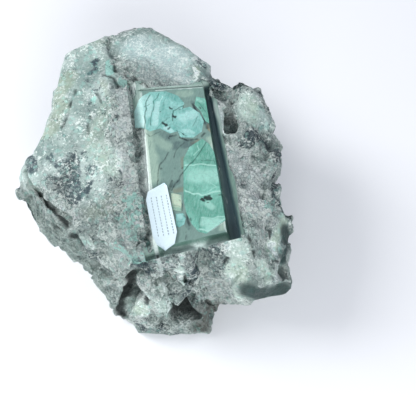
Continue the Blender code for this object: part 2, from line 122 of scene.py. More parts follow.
# Noise, a row each: size, detail, roughness, and the low value that is taken as 0
SCHIST_NOISE = (
    (20.0, 4.0, 0.6, 0.34), (7.5, 7.0, 0.72, 0.31), (4.0, 8.0, 0.82, 0.3), (1.3, 3.0, 0.8, 0.32),
)
CLOUD_NOISE = (
    (6.5, 6.0, 0.7, 0.3), (5.2, 6.0, 0.7, 0.3), (1.7, 3.0, 0.75, 0.31), (1.5, 3.0, 0.75, 0.31),
)
BAND_NOISE = ((9.0, 2.0, 0.5, 0.35), (1.3, 4.0, 0.6, 0.32))
POLISH_NOISE = ((8.0, 4.0, 0.6, 0.34), (2.6, 4.0, 0.65, 0.32), (1.0, 3.0, 0.7, 0.3))
BLADE_NOISE = ((1.1, 3.0, 0.6, 0.32),)
SAWN_NOISE = ((6.0, 4.0, 0.6, 0.34), (1.5, 3.0, 0.7, 0.32))
THREAD_NOISE = ((1.1, 3.0, 0.6, 0.34),)
VEIL_NOISE = ((5.5, 4.0, 0.6, 0.34), (2.0, 5.0, 0.7, 0.32), (0.95, 3.0, 0.7, 0.3))
FIBRE_NOISE = ((1.2, 3.0, 0.6, 0.3),)
# How some of it is drawn out: the degrees that it is turned by, and the stretch along its axes
SCHIST_DRAWN = ((0.0, 0.0, -17.0), (1.0, 2.2, 1.0))
BAND_DRAWN = ((0.0, 31.8, -38.4), (9.0, 1.0, 1.0))
POLISH_DRAWN = ((0.0, 0.0, -12.0), (1.0, 2.6, 1.0))
BLADE_DRAWN = ((0.0, 0.0, 7.0), (1.0, 14.0, 1.0))
THREAD_DRAWN = ((0.0, 0.0, -9.0), (1.0, 4.0, 1.0))
# Grains that fit together: their size, the waves that bend their borders (size, reach, detail),
# and where a border starts and ends as shares of a grain
QUARTZ_GRAINS = (2.3, 2.4, 2.0, 4.0, 0.02, 0.14)
CRYSTAL_BLOCKS = (5.5, 3.0, 4.0, 3.0, 0.01, 0.07)

# The layered rock: direction across its sheets, their size, how far they stand out, and the waves
# in them (size and share of a sheet)
LAYER_ACROSS = (0.55, -0.25, 0.8)
LAYER_SIZE = 5.0
LAYER_STEP = 1.8
LAYER_WAVE = (12.0, 0.6)
CRACK_DEPTH, SHADE_DEPTH = 1.0, 1.2
# How much of the broken relief smooth faces lose
CALM = {"worn": 0.9, "pale": 0.75, "glassy": 0.6, "sugar": 0.8}
# Flecks that lie all over the stone: their share, and the size over which it varies by the spread
COMMON_FLECKS = (("mica", 0.29, 16.0), ("quartz", 0.38, 14.0))
FLECK_SPREAD = 0.26
# How much of them is lost: mica by rich quartz, and all flecks on smooth faces
QUARTZ_CLEARS = 0.7
FEW_FLECKS = {"worn": 0.5, "pale": 0.7, "glassy": 0.9, "sugar": 0.5}

# The tag: its two long edges from the back tip to the front one, and how it is bent
TAG_LEFT = ((0.1, -11.5), (-9.5, -17.6), (-10.5, -22.9), (-5.5, -47.0), (-3.0, -52.0), (2.0, -55.6))
TAG_RIGHT = ((0.1, -11.5), (1.9, -13.5), (4.0, -22.9), (8.6, -43.8), (7.4, -51.2), (2.0, -55.6))
TAG_THICKNESS = 0.35
TAG_BEND = 0.9
TAG_STEPS = (61, 201)
# Its dashed writing lines: direction along them, place of the first, gap from line to line, and
# a dash's gap, half length and half thickness
TAG_ALONG = np.array((0.2, -0.98))
TAG_ACROSS = np.array((0.98, 0.2))
TAG_FIRST_ROW = -11.6
TAG_ROWS = 4
TAG_ROW_GAP = 3.1
TAG_DASH_GAP, TAG_DASH_LONG, TAG_DASH_THICK = 1.9, 0.62, 0.28
TAG_START, TAG_END = 19.0, 46.0

# How far a crystal grows sideways to close the gap of its pocket. Nearly level faces, whose normal
# has a sideways part under the lean, grow less
CRYSTAL_GROWTH = 0.28
CRYSTAL_LEAN = 0.05
# In front of this the left saw cut has broken out, fading in over a length, to a share of its depth
CUT_KEPT, CUT_FADE, CUT_SHARE = 27.0, 6.0, 0.45
# How far the polish runs down over the window's left side
POLISH_REACH = 3.5
# A face is level where the upward part of its normal passes the share, and the crystals' pockets
# lie above the height
LEVEL_SHARE = 0.999
POCKET_FOOT = 60.0
# The turn in degrees past which an edge of the stone shows as an edge
STONE_SHARP = 18.0

# Longest edge of the redrawn stone: on the window, by the kerf, in the saw cuts, on the top, the
# front and everywhere else
EDGE_WINDOW = 0.85
EDGE_KERF = 0.9
EDGE_CUT = 2.5
EDGE_TOP = 1.6
EDGE_FRONT = 1.8
EDGE_REST = 3.4
# The front lies before a place and above a height, the top above a height. The finest edges run
# a little past the window and the kerf
FRONT_EDGE, FRONT_FOOT, TOP_EDGE = -48.0, 2.0, 62.0
WINDOW_SPARE, KERF_SPARE = 0.5, 3.0
KERF_LINE = (
    (-4, -55, 87), (-3, -60, 86), (-2, -63, 81), (-1, -66, 75), (-1, -66, 58), (0, -68, 51),
    (1, -72, 44),
)
# The white lines that the blade left. Beside the window: how far out it lies, half its width, half
# the width of its core, its strength. Along the kerf: two points of the blade's plane, half its
# width, half the width of its core, how far from the kerf it shows
LINE_OUT, LINE_HALF, LINE_CORE, LINE_SHOW = 0.4, 1.4, 0.6, 0.8
KERF = ((-3.0, -56.0, 84.0), (2.0, -75.0, 44.0))
KERF_HALF, KERF_CORE, KERF_REACH = 1.6, 0.8, 14.0
REFINE_ROUNDS = 9
# The stone is redrawn in stages, from this many times its finest edges down to them, with
# triangles turned between. Two triangles are level where the cosine between them passes LEVEL
REFINE_STAGES = (16.0, 8.0, 4.0, 2.0, 1.0)
TURN_ROUNDS = 60
LEVEL = 0.99995
TINY = 1e-6
# Longest edge of a crystal: above a height, and below it
CRYSTAL_EDGE, CRYSTAL_TOP, CRYSTAL_EDGE_BELOW = 0.55, 80.0, 3.0
WELD = 0.01

# Flat facets of the broken stone, coarse to fine: size, share of full depth, share of the tone
FACETS = ((21.0, 0.36, 0.75), (8.0, 0.32, 0.60))
# Each facet: how far it tips and stands out, how sharp the step to the next one is, how far its
# seed strays, and how far its border wanders, in waves of what size
FACET_TIP, FACET_LEVEL, FACET_STEP, FACET_JITTER = 0.6, 0.04, 30.0, 0.45
FACET_WANDER, FACET_BORDER = 0.2, 0.45
BROKEN_DEPTH = 0.8
# Lumps and dents added to them: size and height
LUMPS = ((9.0, 0.15), (4.5, 0.2))
# Rounds of smoothing: of the worn skin before it is broken, and of the surface that hollows are
# measured from. The relief fades in between two heights over the resting face
WORN_FROM, WORN_ROUNDS, HOLLOW_ROUNDS = 0.5, 10, 6
FOOT_FADE = (0.2, 5.0)


def hashed(cells, seed):
    """Random numbers between -1 and 1 for whole-number lattice cells, by mixing their bits."""
    mix = np.array((73856093, 19349663, 83492791), dtype=np.uint64)
    code = (cells.astype(np.int64).astype(np.uint64) * mix).sum(axis=-1, dtype=np.uint64)
    code = code + np.uint64(seed * 2654435761 + 97)
    for shift, factor in ((33, 0xFF51AFD7ED558CCD), (29, 0xC4CEB9FE1A85EC53), (32, 1)):
        code = (code ^ (code >> np.uint64(shift))) * np.uint64(factor)
    return (code >> np.uint64(11)).astype(float) / 2.0 ** 52 - 1.0


def lumps(points, size, seed):
    """Smooth field between -1 and 1: random values at lattice corners, blended by 3s^2 - 2s^3."""
    place = points / size
    cell = np.floor(place)
    share = place - cell
    share = share * share * (3.0 - 2.0 * share)
    total = np.zeros(len(points))
    for corner in product((0, 1), repeat=3):
        weight = np.prod(np.where(corner, share, 1.0 - share), axis=1)
        total += weight * hashed(cell + corner, seed)
    return total


def fade(value, start, end):
    """0 before start, 1 past end, and 3s^2 - 2s^3 between."""
    share = np.clip((value - start) / (end - start), 0.0, 1.0)
    return share * share * (3.0 - 2.0 * share)


def line_distance(points, line):
    """Distance of each point from a line of straight pieces."""
    line = np.array(line, float)
    gaps = []
    for start, end in zip(line, line[1:]):
        along = end - start
        share = np.clip((points - start) @ along / (along @ along), 0.0, 1.0)
        gaps.append(np.linalg.norm(points - start - share[:, None] * along, axis=1))
    return np.min(gaps, axis=0)


def warped(points, size, reach, seed):
    """Points moved by lumps of a size, so that what is measured from them has ragged borders."""
    return points + reach * np.stack([lumps(points, size, seed + k) for k in range(3)], axis=1)


def facets(points, size, seed):
    """Flat broken faces: the height and the tone at each point.

    Each lattice cell holds a seed with a tilted plane and a tone of its own. A point takes their
    mean, weighted by exp(-k d^2) of its distance d from the seed, so that it lies on the plane of
    the nearest seed but for a narrow step between two.
    """
    place = warped(points, FACET_BORDER * size, FACET_WANDER * size, seed + 20) / size
    cell = np.floor(place)
    weights, heights, tones = np.zeros((3, len(points)))
    for step in product((-1, 0, 1), repeat=3):
        near = cell + step
        jitter, tilt = (np.stack([hashed(near, seed + k + 3 * part) for k in range(3)], axis=1)
                        for part in (0, 1))
        offset = place - near - 0.5 - FACET_JITTER * jitter
        weight = np.exp(-FACET_STEP * np.einsum("ij,ij->i", offset, offset))
        height = FACET_TIP * np.einsum("ij,ij->i", offset, tilt) + FACET_LEVEL * hashed(near, seed + 6)
        weights += weight
        heights += weight * height
        tones += weight * hashed(near, seed + 7)
    return size * heights / weights, tones / weights


def refine(points, triangles, kinds, limit):
    """Halve each edge longer than its limit, round after round, until none is.

    A triangle with one, two or three halved edges becomes two, three or four triangles.
    """
    for _ in range(REFINE_ROUNDS):
        sides = np.sort(triangles[:, [[0, 1], [1, 2], [2, 0]]], axis=2).reshape(-1, 2)
        codes = sides[:, 0] * len(points) + sides[:, 1]
        _, first, inverse = np.unique(codes, return_index=True, return_inverse=True)
        start, end = points[sides[first, 0]], points[sides[first, 1]]
        middles = 0.5 * (start + end)
        long = np.linalg.norm(start - end, axis=1) > limit(middles)
        if not long.any():
            break
        numbers = np.full(len(first), -1)
        numbers[long] = len(points) + np.arange(long.sum())
        points = np.concatenate((points, middles[long]))
        cut = numbers[inverse].reshape(-1, 3)
        count = (cut >= 0).sum(axis=1)
        turn = np.where(count == 1, np.argmax(cut, axis=1), 0)
        turn = np.where(count == 2, (np.argmin(cut, axis=1) + 1) % 3, turn)
        order = (np.arange(3) + turn[:, None]) % 3
        a, b, c = np.take_along_axis(triangles, order, axis=1).T
        m, n, o = np.take_along_axis(cut, order, axis=1).T
        shapes = (
            (0, ((a, b, c),)),
            (1, ((a, m, c), (m, b, c))),
            (2, ((m, b, n), (a, m, n), (a, n, c))),
            (3, ((a, m, o), (m, b, n), (o, n, c), (m, n, o))),
        )
        new, new_kinds = [], []
        for wanted, made in shapes:
            chosen = count == wanted
            for corners in made:
                new.append(np.stack([corner[chosen] for corner in corners], axis=1))
                new_kinds.append(kinds[chosen])
        triangles = np.concatenate(new)
        kinds = np.concatenate(new_kinds)
    return points, triangles, kinds


def corner_angle(corner, one, other):
    """The angle at each corner between the ways to two other points."""
    first, second = one - corner, other - corner
    across = np.linalg.norm(np.cross(first, second), axis=1)
    return np.arctan2(across, np.einsum("ij,ij->i", first, second))


def turned(points, triangles, kinds):
    """The same surface with better shaped triangles, made by turning edges in its flat parts.

    Two triangles a b c and b a d that lie level become a d c and d b c where the angles at c and
    d pass a half turn together. Each round turns the edges from which both triangles gain most.
    A hair is added to each gain, so that no two are the same.
    """
    triangles = triangles.copy()
    for _ in range(TURN_ROUNDS):
        normals = face_normals(points, triangles)
        area = np.linalg.norm(normals, axis=1)
        unit = normals / np.maximum(area, 1e-12)[:, None]
        sides = triangles[:, [[0, 1], [1, 2], [2, 0]]].reshape(-1, 2)
        codes = sides.min(axis=1) * len(points) + sides.max(axis=1)
        order = np.argsort(codes, kind="stable")
        pair = codes[order[1:]] == codes[order[:-1]]
        first, second = order[:-1][pair], order[1:][pair]
        left, right = first // 3, second // 3
        a, b = sides[first].T
        c, d = triangles[left, (first + 2) % 3], triangles[right, (second + 2) % 3]
        gain = sum(corner_angle(points[corner], points[a], points[b]) for corner in (c, d)) - np.pi
        gain += 1e-9 * np.linspace(0.0, 1.0, len(gain))
        up = unit[np.where(area[left] > area[right], left, right)]
        whole = True
        for p, q in ((a, d), (d, b)):
            across = np.cross(points[q] - points[p], points[c] - points[p])
            whole = whole & (np.einsum("ij,ij->i", across, up) > TINY)
        level = np.einsum("ij,ij->i", unit[left], unit[right]) > LEVEL
        good = level & (kinds[left] == kinds[right]) & (gain > TINY) & whole
        gain = np.where(good, gain, -1.0)
        best = np.full(len(triangles), -1.0)
        np.maximum.at(best, left, gain)
        np.maximum.at(best, right, gain)
        chosen = good & (gain == best[left]) & (gain == best[right])
        if not chosen.any():
            break
        triangles[left[chosen]] = np.stack((a, d, c), axis=1)[chosen]
        triangles[right[chosen]] = np.stack((d, b, c), axis=1)[chosen]
    return triangles


def read_node(name):
    """A frame solid's points in millimetres and its triangles, with doubled points merged."""
    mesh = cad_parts[name].data
    mesh.calc_loop_triangles()
    flat = np.empty(3 * len(mesh.vertices), np.float32)
    mesh.vertices.foreach_get("co", flat)
    corners = np.empty(3 * len(mesh.loop_triangles), np.int32)
    mesh.loop_triangles.foreach_get("vertices", corners)
    keys = np.round(flat.reshape(-1, 3) / (WELD * MM)).astype(np.int64)
    _, first, inverse = np.unique(keys, axis=0, return_index=True, return_inverse=True)
    triangles = inverse.reshape(-1)[corners].reshape(-1, 3)
    rolled = np.roll(triangles, 1, axis=1)
    return flat.reshape(-1, 3)[first].astype(float) / MM, triangles[(triangles != rolled).all(axis=1)]


def face_normals(points, triangles):
    """Normals of the triangles, as long as twice their area."""
    a, b, c = points[triangles].transpose(1, 0, 2)
    return np.cross(b - a, c - a)


def point_normals(points, triangles):
    """Unit normals of the points: the sum of the normals of the triangles that meet there."""
    faces = face_normals(points, triangles)
    total = np.zeros_like(points)
    for corner in triangles.T:
        np.add.at(total, corner, faces)
    return total / np.maximum(np.linalg.norm(total, axis=1), 1e-9)[:, None]


def smoothed(points, triangles, free, rounds):
    """Free points drawn half way to the mean of their neighbours, round after round."""
    sides = np.concatenate((triangles[:, [0, 1]], triangles[:, [1, 2]], triangles[:, [2, 0]]))
    number = np.bincount(sides[:, 0], minlength=len(points))[:, None]
    for _ in range(rounds):
        total = np.stack([np.bincount(sides[:, 0], points[sides[:, 1], k], len(points))
                          for k in range(3)], axis=1)
        mean = total / np.maximum(number, 1)
        points = np.where(free[:, None], 0.5 * (points + mean), points)
    return points


def make_piece(name, points, triangles, materials, kinds=None, sharp=40.0, **fields):
    """A mesh object from points in millimetres, its triangles, and a value per point a field."""
    mesh = bpy.data.meshes.new(name)
    mesh.from_pydata((points * MM).tolist(), [], triangles.tolist())
    for material in materials:
        mesh.materials.append(material)
    if kinds is not None:
        mesh.polygons.foreach_set("material_index", kinds.astype(np.int32))
    for field, values in fields.items():
        layer = mesh.attributes.new(field, "FLOAT", "POINT")
        layer.data.foreach_set("value", np.asarray(values, np.float32))
    mesh.shade_smooth()
    mesh.set_sharp_from_angle(angle=radians(sharp))
    mesh.update()
    thing = bpy.data.objects.new(name, mesh)
    bpy.context.scene.collection.objects.link(thing)
    return thing


def window_side(number):
    """A side of the window: its start, its direction, the way out from it, and its length."""
    corners = np.array(WINDOW)
    start, end = corners[number], corners[(number + 1) % len(corners)]
    length = np.linalg.norm(end - start)
    along = (end - start) / length
    return start, along, np.array((along[1], -along[0])), length


def saw_reach(points):
    """Which saw cut holds each point, or -1 where none does.

    The reach of a point is its distance out from the window's side. A cut runs from the side to
    its outer wall, which leans out with height.
    """
    number = np.full(len(points), -1)
    height = points[:, 2] - WINDOW_HEIGHT
    for side, (*widths, outer, depth, before, after) in enumerate(SAW_CUTS):
        start, along, away, length = window_side(side)
        run = (points[:, :2] - start) @ along
        reach = (points[:, :2] - start) @ away
        share = np.clip((run + before) / (length + before + after), 0.0, 1.0)
        first, last = widths[0] + widths[2], widths[1] + widths[3]
        top = first + (last - first) * share + outer * (height + depth) / (SAW_HEIGHT + depth)
        held = (reach > -SAW_SLACK) & (reach < top + SAW_SLACK) & (height > -depth - SAW_SLACK)
        held &= (run > -before - SAW_SLACK) & (run < length + after + SAW_SLACK)
        number = np.where(held & (number < 0), side, number)
    return number


def in_window(points, spare):
    """Points that lie over the window, or less than the spare outside its sides."""
    inside = np.ones(len(points), bool)
    for side in range(len(WINDOW)):
        start, _, away, _ = window_side(side)
        inside &= (points[:, :2] - start) @ away < spare
    return inside


# Where the stone's minerals and breaks lie: half width, strength, and a line of points
MARKS = {
    # flecks of blue-black mica
    "mica": (
        (4, 0.9, ((-51, 81, 86), (-49, 73, 88))), (2, 0.9, ((-49, 73, 88), (-48, 63, 90))),
        (3, 0.5, ((-56, 64, 90), (-51, 64, 90))), (6, 0.6, ((-73, 12, 83), (-68, 6, 83))),
        (9, 0.65, ((-61, 7, 85), (-57, -3, 84), (-57, -13, 84), (-55, -19, 84))),
        (5, 0.8, ((-49, -14, 86), (-47, -11, 86))), (5, 0.5, ((-51, 11, 86), (-45, -3, 87))),
        (10, 0.6, ((-69, -4, 82), (-61, -10, 83))), (7, 0.6, ((-88, 12, 80), (-85, 4, 81))),
        (7, 0.55, ((-87, -16, 68), (-76, -28, 70))), (6, 0.4, ((-71, -34, 67), (-51, -49, 47))),
        (4, 0.75, ((-26, 5, 92), (-23, -4, 92), (-24, -10, 91))),
        (3, 0.7, ((-25, 11, 92), (-24, 1, 92))),
        (4, 0.5, ((-26, -39, 92), (-27, -46, 93))), (4, 0.5, ((-23, -20, 91), (-24, -26, 90))),
        (6, 0.5, ((-69, 87, 83), (-63, 98, 80))), (4, 0.9, ((21, 91, 79), (25, 80, 85))),
        (3, 0.6, ((13, 83, 87), (14, 60, 91))),
        (6, 0.8, ((25, 59, 87), (31, 63, 85), (39, 61, 85))),
        (5, 0.7, ((49, 56, 92), (54, 57, 91))),
        (8, 0.8, ((52, 15, 101), (61, 20, 98), (67, 14, 95))),
        (6, 0.6, ((45, 12, 97), (54, 7, 101))),
        (3.5, 0.7, ((36, 18, 88), (39, 8, 88), (41, -18, 88))),
        (8, 0.75, ((71, 4, 94), (72, 4, 74), (68, -16, 88))),
        (7, 0.95, ((68, -15, 84), (72, -21, 76))), (9, 0.6, ((-43, -55, 51), (-46, -48, 58))),
        (8, 0.5, ((-35, -65, 50), (-34, -71, 29))), (9, 0.6, ((-12, -81, 14), (0, -83, 8))),
        (5, 0.65, ((3, -62, 79), (7, -63, 67))),
        (7, 0.8, ((18, -57, 83), (18, -63, 73), (19, -65, 51))),
        (8, 0.7, ((-12, -61, 84), (-6, -64, 79))), (8, 0.6, ((33, -52, 88), (36, -56, 80))),
        (16, 0.5, ((30, -66, 20), (60, -40, 20))), (20, 0.45, ((70, 20, 50), (70, -20, 40))),
        (22, 0.4, ((-60, -20, 40), (-80, 30, 50))), (20, 0.45, ((-20, 100, 50), (40, 80, 50))),
    ),
    # white sugary quartz
    "quartz": (
        (5, 1.0, ((-28, 54, 92), (-27, 41, 93), (-27, 26, 93))),
        (5, 0.8, ((-27, 11, 92), (-24, -3, 91), (-22, -17, 92))),
        (5, 1.0, ((-24, -42, 89), (-22, -51, 92))), (5, 0.6, ((-24, -54, 85), (-28, -60, 73))),
        (3, 0.9, ((-64, -23, 78), (-63, -25, 76))), (6, 0.8, ((-91, -7, 68), (-84, -14, 70))),
        (4, 0.9, ((18, 90, 83), (19, 86, 85))), (3, 0.7, ((18, 76, 87), (20, 61, 91))),
        (8, 0.95, ((35, 43, 96), (35, 33, 96), (36, 25, 96))), (2, 0.9, ((28, 59, 83), (30, 54, 83))),
        (3, 0.7, ((41, 59, 87), (41, 52, 88))),
        (12, 0.9, ((39, 5, 93), (46, -5, 99), (54, -12, 96), (56, -19, 96))),
        (12, 0.75, ((48, -26, 97), (55, -29, 96), (64, -31, 92))),
        (5, 0.95, ((60, -7, 96), (63, -10, 94))), (6, 0.5, ((40, -49, 93), (38, -54, 89))),
        (4, 1.0, ((66, -45, 75), (69, -55, 70), (69, -64, 65))),
        (10, 0.6, ((26, -57, 58), (29, -63, 46))),
        (9, 0.65, ((24, -62, 51), (32, -65, 42), (40, -60, 60))),
        (7, 0.6, ((-13, -68, 68), (-4, -73, 31))), (4, 0.7, ((10, -58, 89), (10, -66, 61))),
        (7, 0.55, ((-34, -59, 61), (-29, -66, 56))), (5, 0.5, ((70, 30, 84), (73, 12, 84))),
        (6, 0.45, ((-72, 80, 82), (-66, 88, 84))), (8, 0.4, ((-56, 98, 83), (-44, 96, 85))),
    ),
    # crumbs of emerald outside the window
    "emerald": (
        (3.5, 1.0, ((-40, 86, 84), (-39, 79, 86), (-38, 72, 88))),
        (4, 0.7, ((-31, 65, 90), (-27, 61, 90))), (2.5, 0.7, ((-48, 52, 88), (-47, 47, 88))),
        (9, 0.62, ((-20, -22, 91), (-15, -30, 90), (-17, -42, 91), (-22, -33, 92))),
        (8, 0.62, ((-24, -53, 87), (-14, -57, 88), (-11, -51, 87))),
        (4, 0.6, ((-4, -59, 87), (-4, -60, 84))), (4, 0.5, ((63, -27, 94), (68, -25, 82))),
        (5, 0.4, ((-88, -9, 68), (-84, -14, 70))),
    ),
    # yellow-green weathered skin
    "olive": (
        (9, 0.9, ((-68, 68, 87), (-71, 48, 86), (-76, 31, 84))),
        (9, 0.8, ((-42, -29, 86), (-33, -26, 90), (-29, -16, 91))),
        (6, 0.7, ((-39, 60, 90), (-36, 48, 91))), (6, 0.8, ((9, 101, 80), (10, 81, 87))),
        (3, 0.8, ((19, 76, 87), (18, 64, 91))), (7, 0.75, ((51, 45, 94), (59, 36, 94))),
        (7, 0.6, ((-51, 98, 83), (-44, 99, 83))), (8, 0.4, ((30, -66, 45), (22, -62, 60))),
        (12, 0.5, ((-40, 40, 90), (-44, 24, 89))),
    ),
    # cracks and dark lines
    "crack": (
        (1.7, 1.0, ((-60, 57, 89), (-63, 47, 88), (-65, 37, 87), (-68, 31, 86))),
        (1.5, 0.8, ((-49, 39, 87), (-50, 33, 87), (-50, 23, 86))),
        (1.7, 1.0, ((-41, 105, 81), (-43, 92, 84), (-43, 82, 86), (-43, 70, 88), (-40, 68, 89),
                    (-36, 67, 89), (-31, 59, 91))),
        (1.5, 0.9, ((-40, 90, 84), (-37, 84, 85), (-35, 74, 88))),
        (1.7, 0.9, ((-33, 81, 88), (-29, 72, 89), (-27, 68, 89))),
        (1.9, 1.0, ((-27, 77, 88), (-23, 68, 88), (-18, 62, 89), (-11, 58, 88))),
        (1.7, 1.0, ((67, -32, 79), (64, -38, 80), (64, -43, 78), (66, -55, 78), (69, -55, 69))),
        (1.8, 1.0, ((50, -43, 91), (51, -49, 94), (52, -55, 92), (55, -58, 88))),
        (1.8, 1.0, ((39, -55, 89), (37, -59, 74))),
        (2.1, 1.0, ((-20, -71, 52), (-14, -72, 42), (-9, -74, 27), (-1, -79, 27))),
        (1.7, 0.9, ((2, -65, 62), (8, -67, 60))),
        (2.1, 1.0, ((-69, -32, 69), (-62, -35, 67), (-55, -40, 64))),
        (1.3, 0.8, ((-45, 54, 89), (-43, 48, 89))),
        (1.3, 0.8, ((-73, -32, 67), (-65, -37, 52), (-49, -51, 48))),
        (1.3, 0.8, ((-66, -31, 71), (-54, -42, 63), (-43, -50, 55))),
    ),
    # smooth pale faces with few flecks
    "pale": (
        (5, 0.5, ((-53, -40, 66), (-45, -45, 69))),
        (7, 0.8, ((31, 46, 89), (35, 31, 95), (37, 26, 94))),
        (10, 0.85, ((43, -53, 92), (43, -62, 75), (47, -70, 54))),
        (9, 0.8, ((-46, 14, 87), (-37, 9, 90), (-33, 1, 90))),
        (7, 0.75, ((-10, -70, 58), (-6, -74, 52), (-1, -78, 39))),
        (7, 0.8, ((57, -58, 78), (64, -64, 67))),
        (11, 1.0, ((49, 41, 97), (55, 37, 96), (61, 31, 95))),
        (9, 0.8, ((-26, -66, 16), (-16, -74, 34))),
        (6, 1.0, ((76, -27, 72), (70, -38, 76), (65, -49, 75))),
        (12, 0.5, ((-43, 16, 88), (-34, 5, 90))), (7, 0.6, ((-7, -66, 62), (2, -76, 28))),
        (4.5, 0.9, ((11, -58, 88), (10, -63, 75), (11, -68, 65))),
    ),
    # dark glassy faces
    "glassy": (
        (8, 1.0, ((75, -35, 70), (78, -42, 62), (74, -51, 66))),
        (12, 1.0, ((53, -71, 58), (63, -70, 52), (73, -66, 48))),
        (6, 0.9, ((50, -67, 60), (62, -69, 60))), (4, 0.8, ((73, -58, 64), (75, -62, 60))),
        (4, 0.8, ((2, -67, 56), (4, -68, 53))), (14, 0.6, ((70, 44, 55), (60, 58, 40))),
        (14, 0.6, ((-60, 90, 45), (-70, 60, 40))),
    ),
    # brown stains, and on the face under the front overhang a brownish face darkened further as painted
    # shade
    "brown": (
        (4, 0.7, ((-88, -4, 76), (-79, -13, 76))),
        # the face under the front overhang: brownish rock, made darker as painted shade
        (12, 1.0, ((28, -73, 30), (31, -70, 23), (24, -81, 13))),
        (3, 0.5, ((-8, -49, 85), (-8, -51, 85))), (4, 0.6, ((73, -57, 64), (75, -62, 62))),
        (18, 0.5, ((-20, 80, 30), (20, 70, 30))), (14, 0.4, ((76, 0, 50), (72, 30, 50))),
    ),
    # painted shade: deep hollows, trenches and the cave coloured dark shade-green as if in shadow
    "shade": (
        (6, 1.0, ((-20, -57, 56), (-22, -57, 43), (-26, -59, 27), (-31, -68, 21), (-32, -75, 10))),
        (12, 1.0, ((8, -70, 25), (13, -67, 21), (17, -72, 23))),
        (3.5, 1.0, ((-80, -10, 76), (-69, -24, 75), (-62, -31, 71))),
        (3, 0.4, ((42, 48, 88), (43, 28, 88))), (4, 0.3, ((24, 62, 85), (34, 60, 84))),
    ),
    # thin sheets of the layered rock
    "layers": (
        (14, 1.0, ((-88, -10, 66), (-73, -34, 62), (-50, -52, 46), (-42, -64, 24))),
        (8, 0.6, ((-4, -72, 50), (2, -78, 24))),
    ),
    # smooth weathered skin, which keeps few chips
    "worn": (
        (26, 1.0, ((-58, 92, 84), (-66, 50, 87), (-80, 8, 82))),
        (18, 0.9, ((-44, 60, 89), (-48, 20, 88), (-44, -14, 87))),
        (24, 1.0, ((-22, 98, 82), (0, 92, 83), (18, 78, 86))),
        (8, 0.8, ((51, 45, 95), (59, 36, 96))), (9, 0.7, ((76, -27, 70), (68, -50, 77))),
    ),
    # fine sugary quartz, pale blue-grey
    "sugar": (
        (17, 1.0, ((-20, 94, 83), (-6, 86, 85), (6, 84, 85))),
        (13, 1.0, ((-12, 74, 88), (8, 68, 90))),
        (6, 0.6, ((22, 90, 82), (30, 80, 82))),
    ),
    # fresh white edges that the saw left
    "rim": (
        (1.2, 0.8, ((4, -57, 88), (20, -54, 88), (36, -50, 88))),
        (6, 0.45, ((31, 44, 90), (35, 31, 95), (37, 26, 94))), (8, 0.3, ((44, 2, 96), (54, -12, 97))),
        (4, 0.4, ((-28, 52, 92), (-27, 41, 93), (-26, 28, 93))),
        (4, 0.3, ((-27, 11, 92), (-24, -3, 91))),
        (6, 0.3, ((-24, -44, 90), (-20, -52, 90), (-14, -57, 88))),
        (5, 0.3, ((69, -58, 70), (69, -64, 65))),
        (0.8, 0.5, ((-16.6, 54, 90), (-15.2, 41, 90), (-14, 29, 90))),
    ),
}
# How ragged the borders of the marks are: size of the lumps and how far they move a border. The
# core is the share of a mark's half width at which it has its full strength
MARK_RAGGED = {
    "mica": (7.0, 4.0), "quartz": (6.0, 3.0), "emerald": (5.0, 2.5), "olive": (9.0, 4.0),
    "crack": (4.0, 0.8), "pale": (5.0, 1.5), "glassy": (6.0, 1.2), "brown": (6.0, 3.0),
    "shade": (6.0, 1.5), "layers": (10.0, 3.0), "worn": (14.0, 5.0), "sugar": (8.0, 3.0),
    "rim": (5.0, 0.4),
}
WALL_RAGGED = (5.0, 1.0)
THIN_RAGGED, BROAD_RAGGED = (3.0, 0.4), (4.0, 1.4)
VEIL_RAGGED, SPOT_RAGGED = (3.0, 0.6), (1.8, 0.9)
MARK_CORE = 0.35

# What the walls of the saw cuts show: half width, strength, points
WALL_MARKS = {
    # dark green walls
    "green": (
        (2.4, 1.0, ((25, 58, 88), (30, 24, 88), (34, -5, 88), (39, -43, 88))),
        (2.3, 1.0, ((-4, -54, 89), (12, -50, 89), (22, -47.5, 89), (37, -44, 89))),
    ),
    # the deep navy floor and outer wall at the right: dark sawn rock, darkened further as painted shade
    # of the groove
    "navy": (
        (9, 1.0, ((30, 45, 83), (36, 24, 83), (41, -5, 83), (46, -42, 83))),
        (5, 1.0, ((27, 60, 84), (30, 45, 84))),
    ),
    # the light strip below the front wall, and the pale back wall
    "light": (
        (3.4, 1.0, ((3, -55, 84.5), (10, -52.5, 84), (22, -50, 83.5), (37, -47, 83))),
        (4, 0.7, ((-14, 58, 89), (4, 59, 89), (24, 61, 89))),
    ),
    # the fresh edge along the window
    "rim": (
        (0.8, 0.5, ((-16.6, 54, 90), (-15.2, 41, 90), (-14, 29, 90))),
        (0.7, 0.5, ((38.1, -43.2, 90), (31, 8, 90), (24, 58, 90))),
    ),
    # flecks of mica and quartz in the left cut
    "flecks": (
        (6, 0.5, ((-23, 64, 86), (-22, 55, 86))), (5, 0.5, ((0, -60, 84), (38, -52, 84))),
    ),
}


def marked(points, marks, ragged, seed, flat=False):
    """Strength of marks at each point: full near a mark's line, 0 past its half width.

    Flat marks are drawn as seen from above, so that only x and y count.
    """
    moved = warped(points, *ragged, seed)
    if flat:
        moved = moved[:, :2]
    strength = np.zeros(len(points))
    for half_width, full, line in marks:
        near = fade(line_distance(moved, line) / half_width, 1.0, MARK_CORE)
        strength = np.maximum(strength, full * near)
    return strength


def linear(code):
    """An sRGB hex colour as linear red, green, blue and alpha."""
    parts = [int(code[k:k + 2], 16) / 255.0 for k in (1, 3, 5)]
    return (*(c / 12.92 if c <= 0.04045 else ((c + 0.055) / 1.055) ** 2.4 for c in parts), 1.0)


def add(tree, kind, settings=(), links=()):
    """Add a node: settings go to its properties, or to its sockets by name or number.

    A Map Range reads from socket 1 to socket 2, and gives socket 3 to socket 4.
    """
    node = tree.nodes.new(kind)
    for name, value in dict(settings).items():
        if isinstance(name, str) and hasattr(node, name):
            setattr(node, name, value)
        else:
            node.inputs[name].default_value = value
    for name, source in dict(links).items():
        tree.links.new(source, node.inputs[name])
    return node


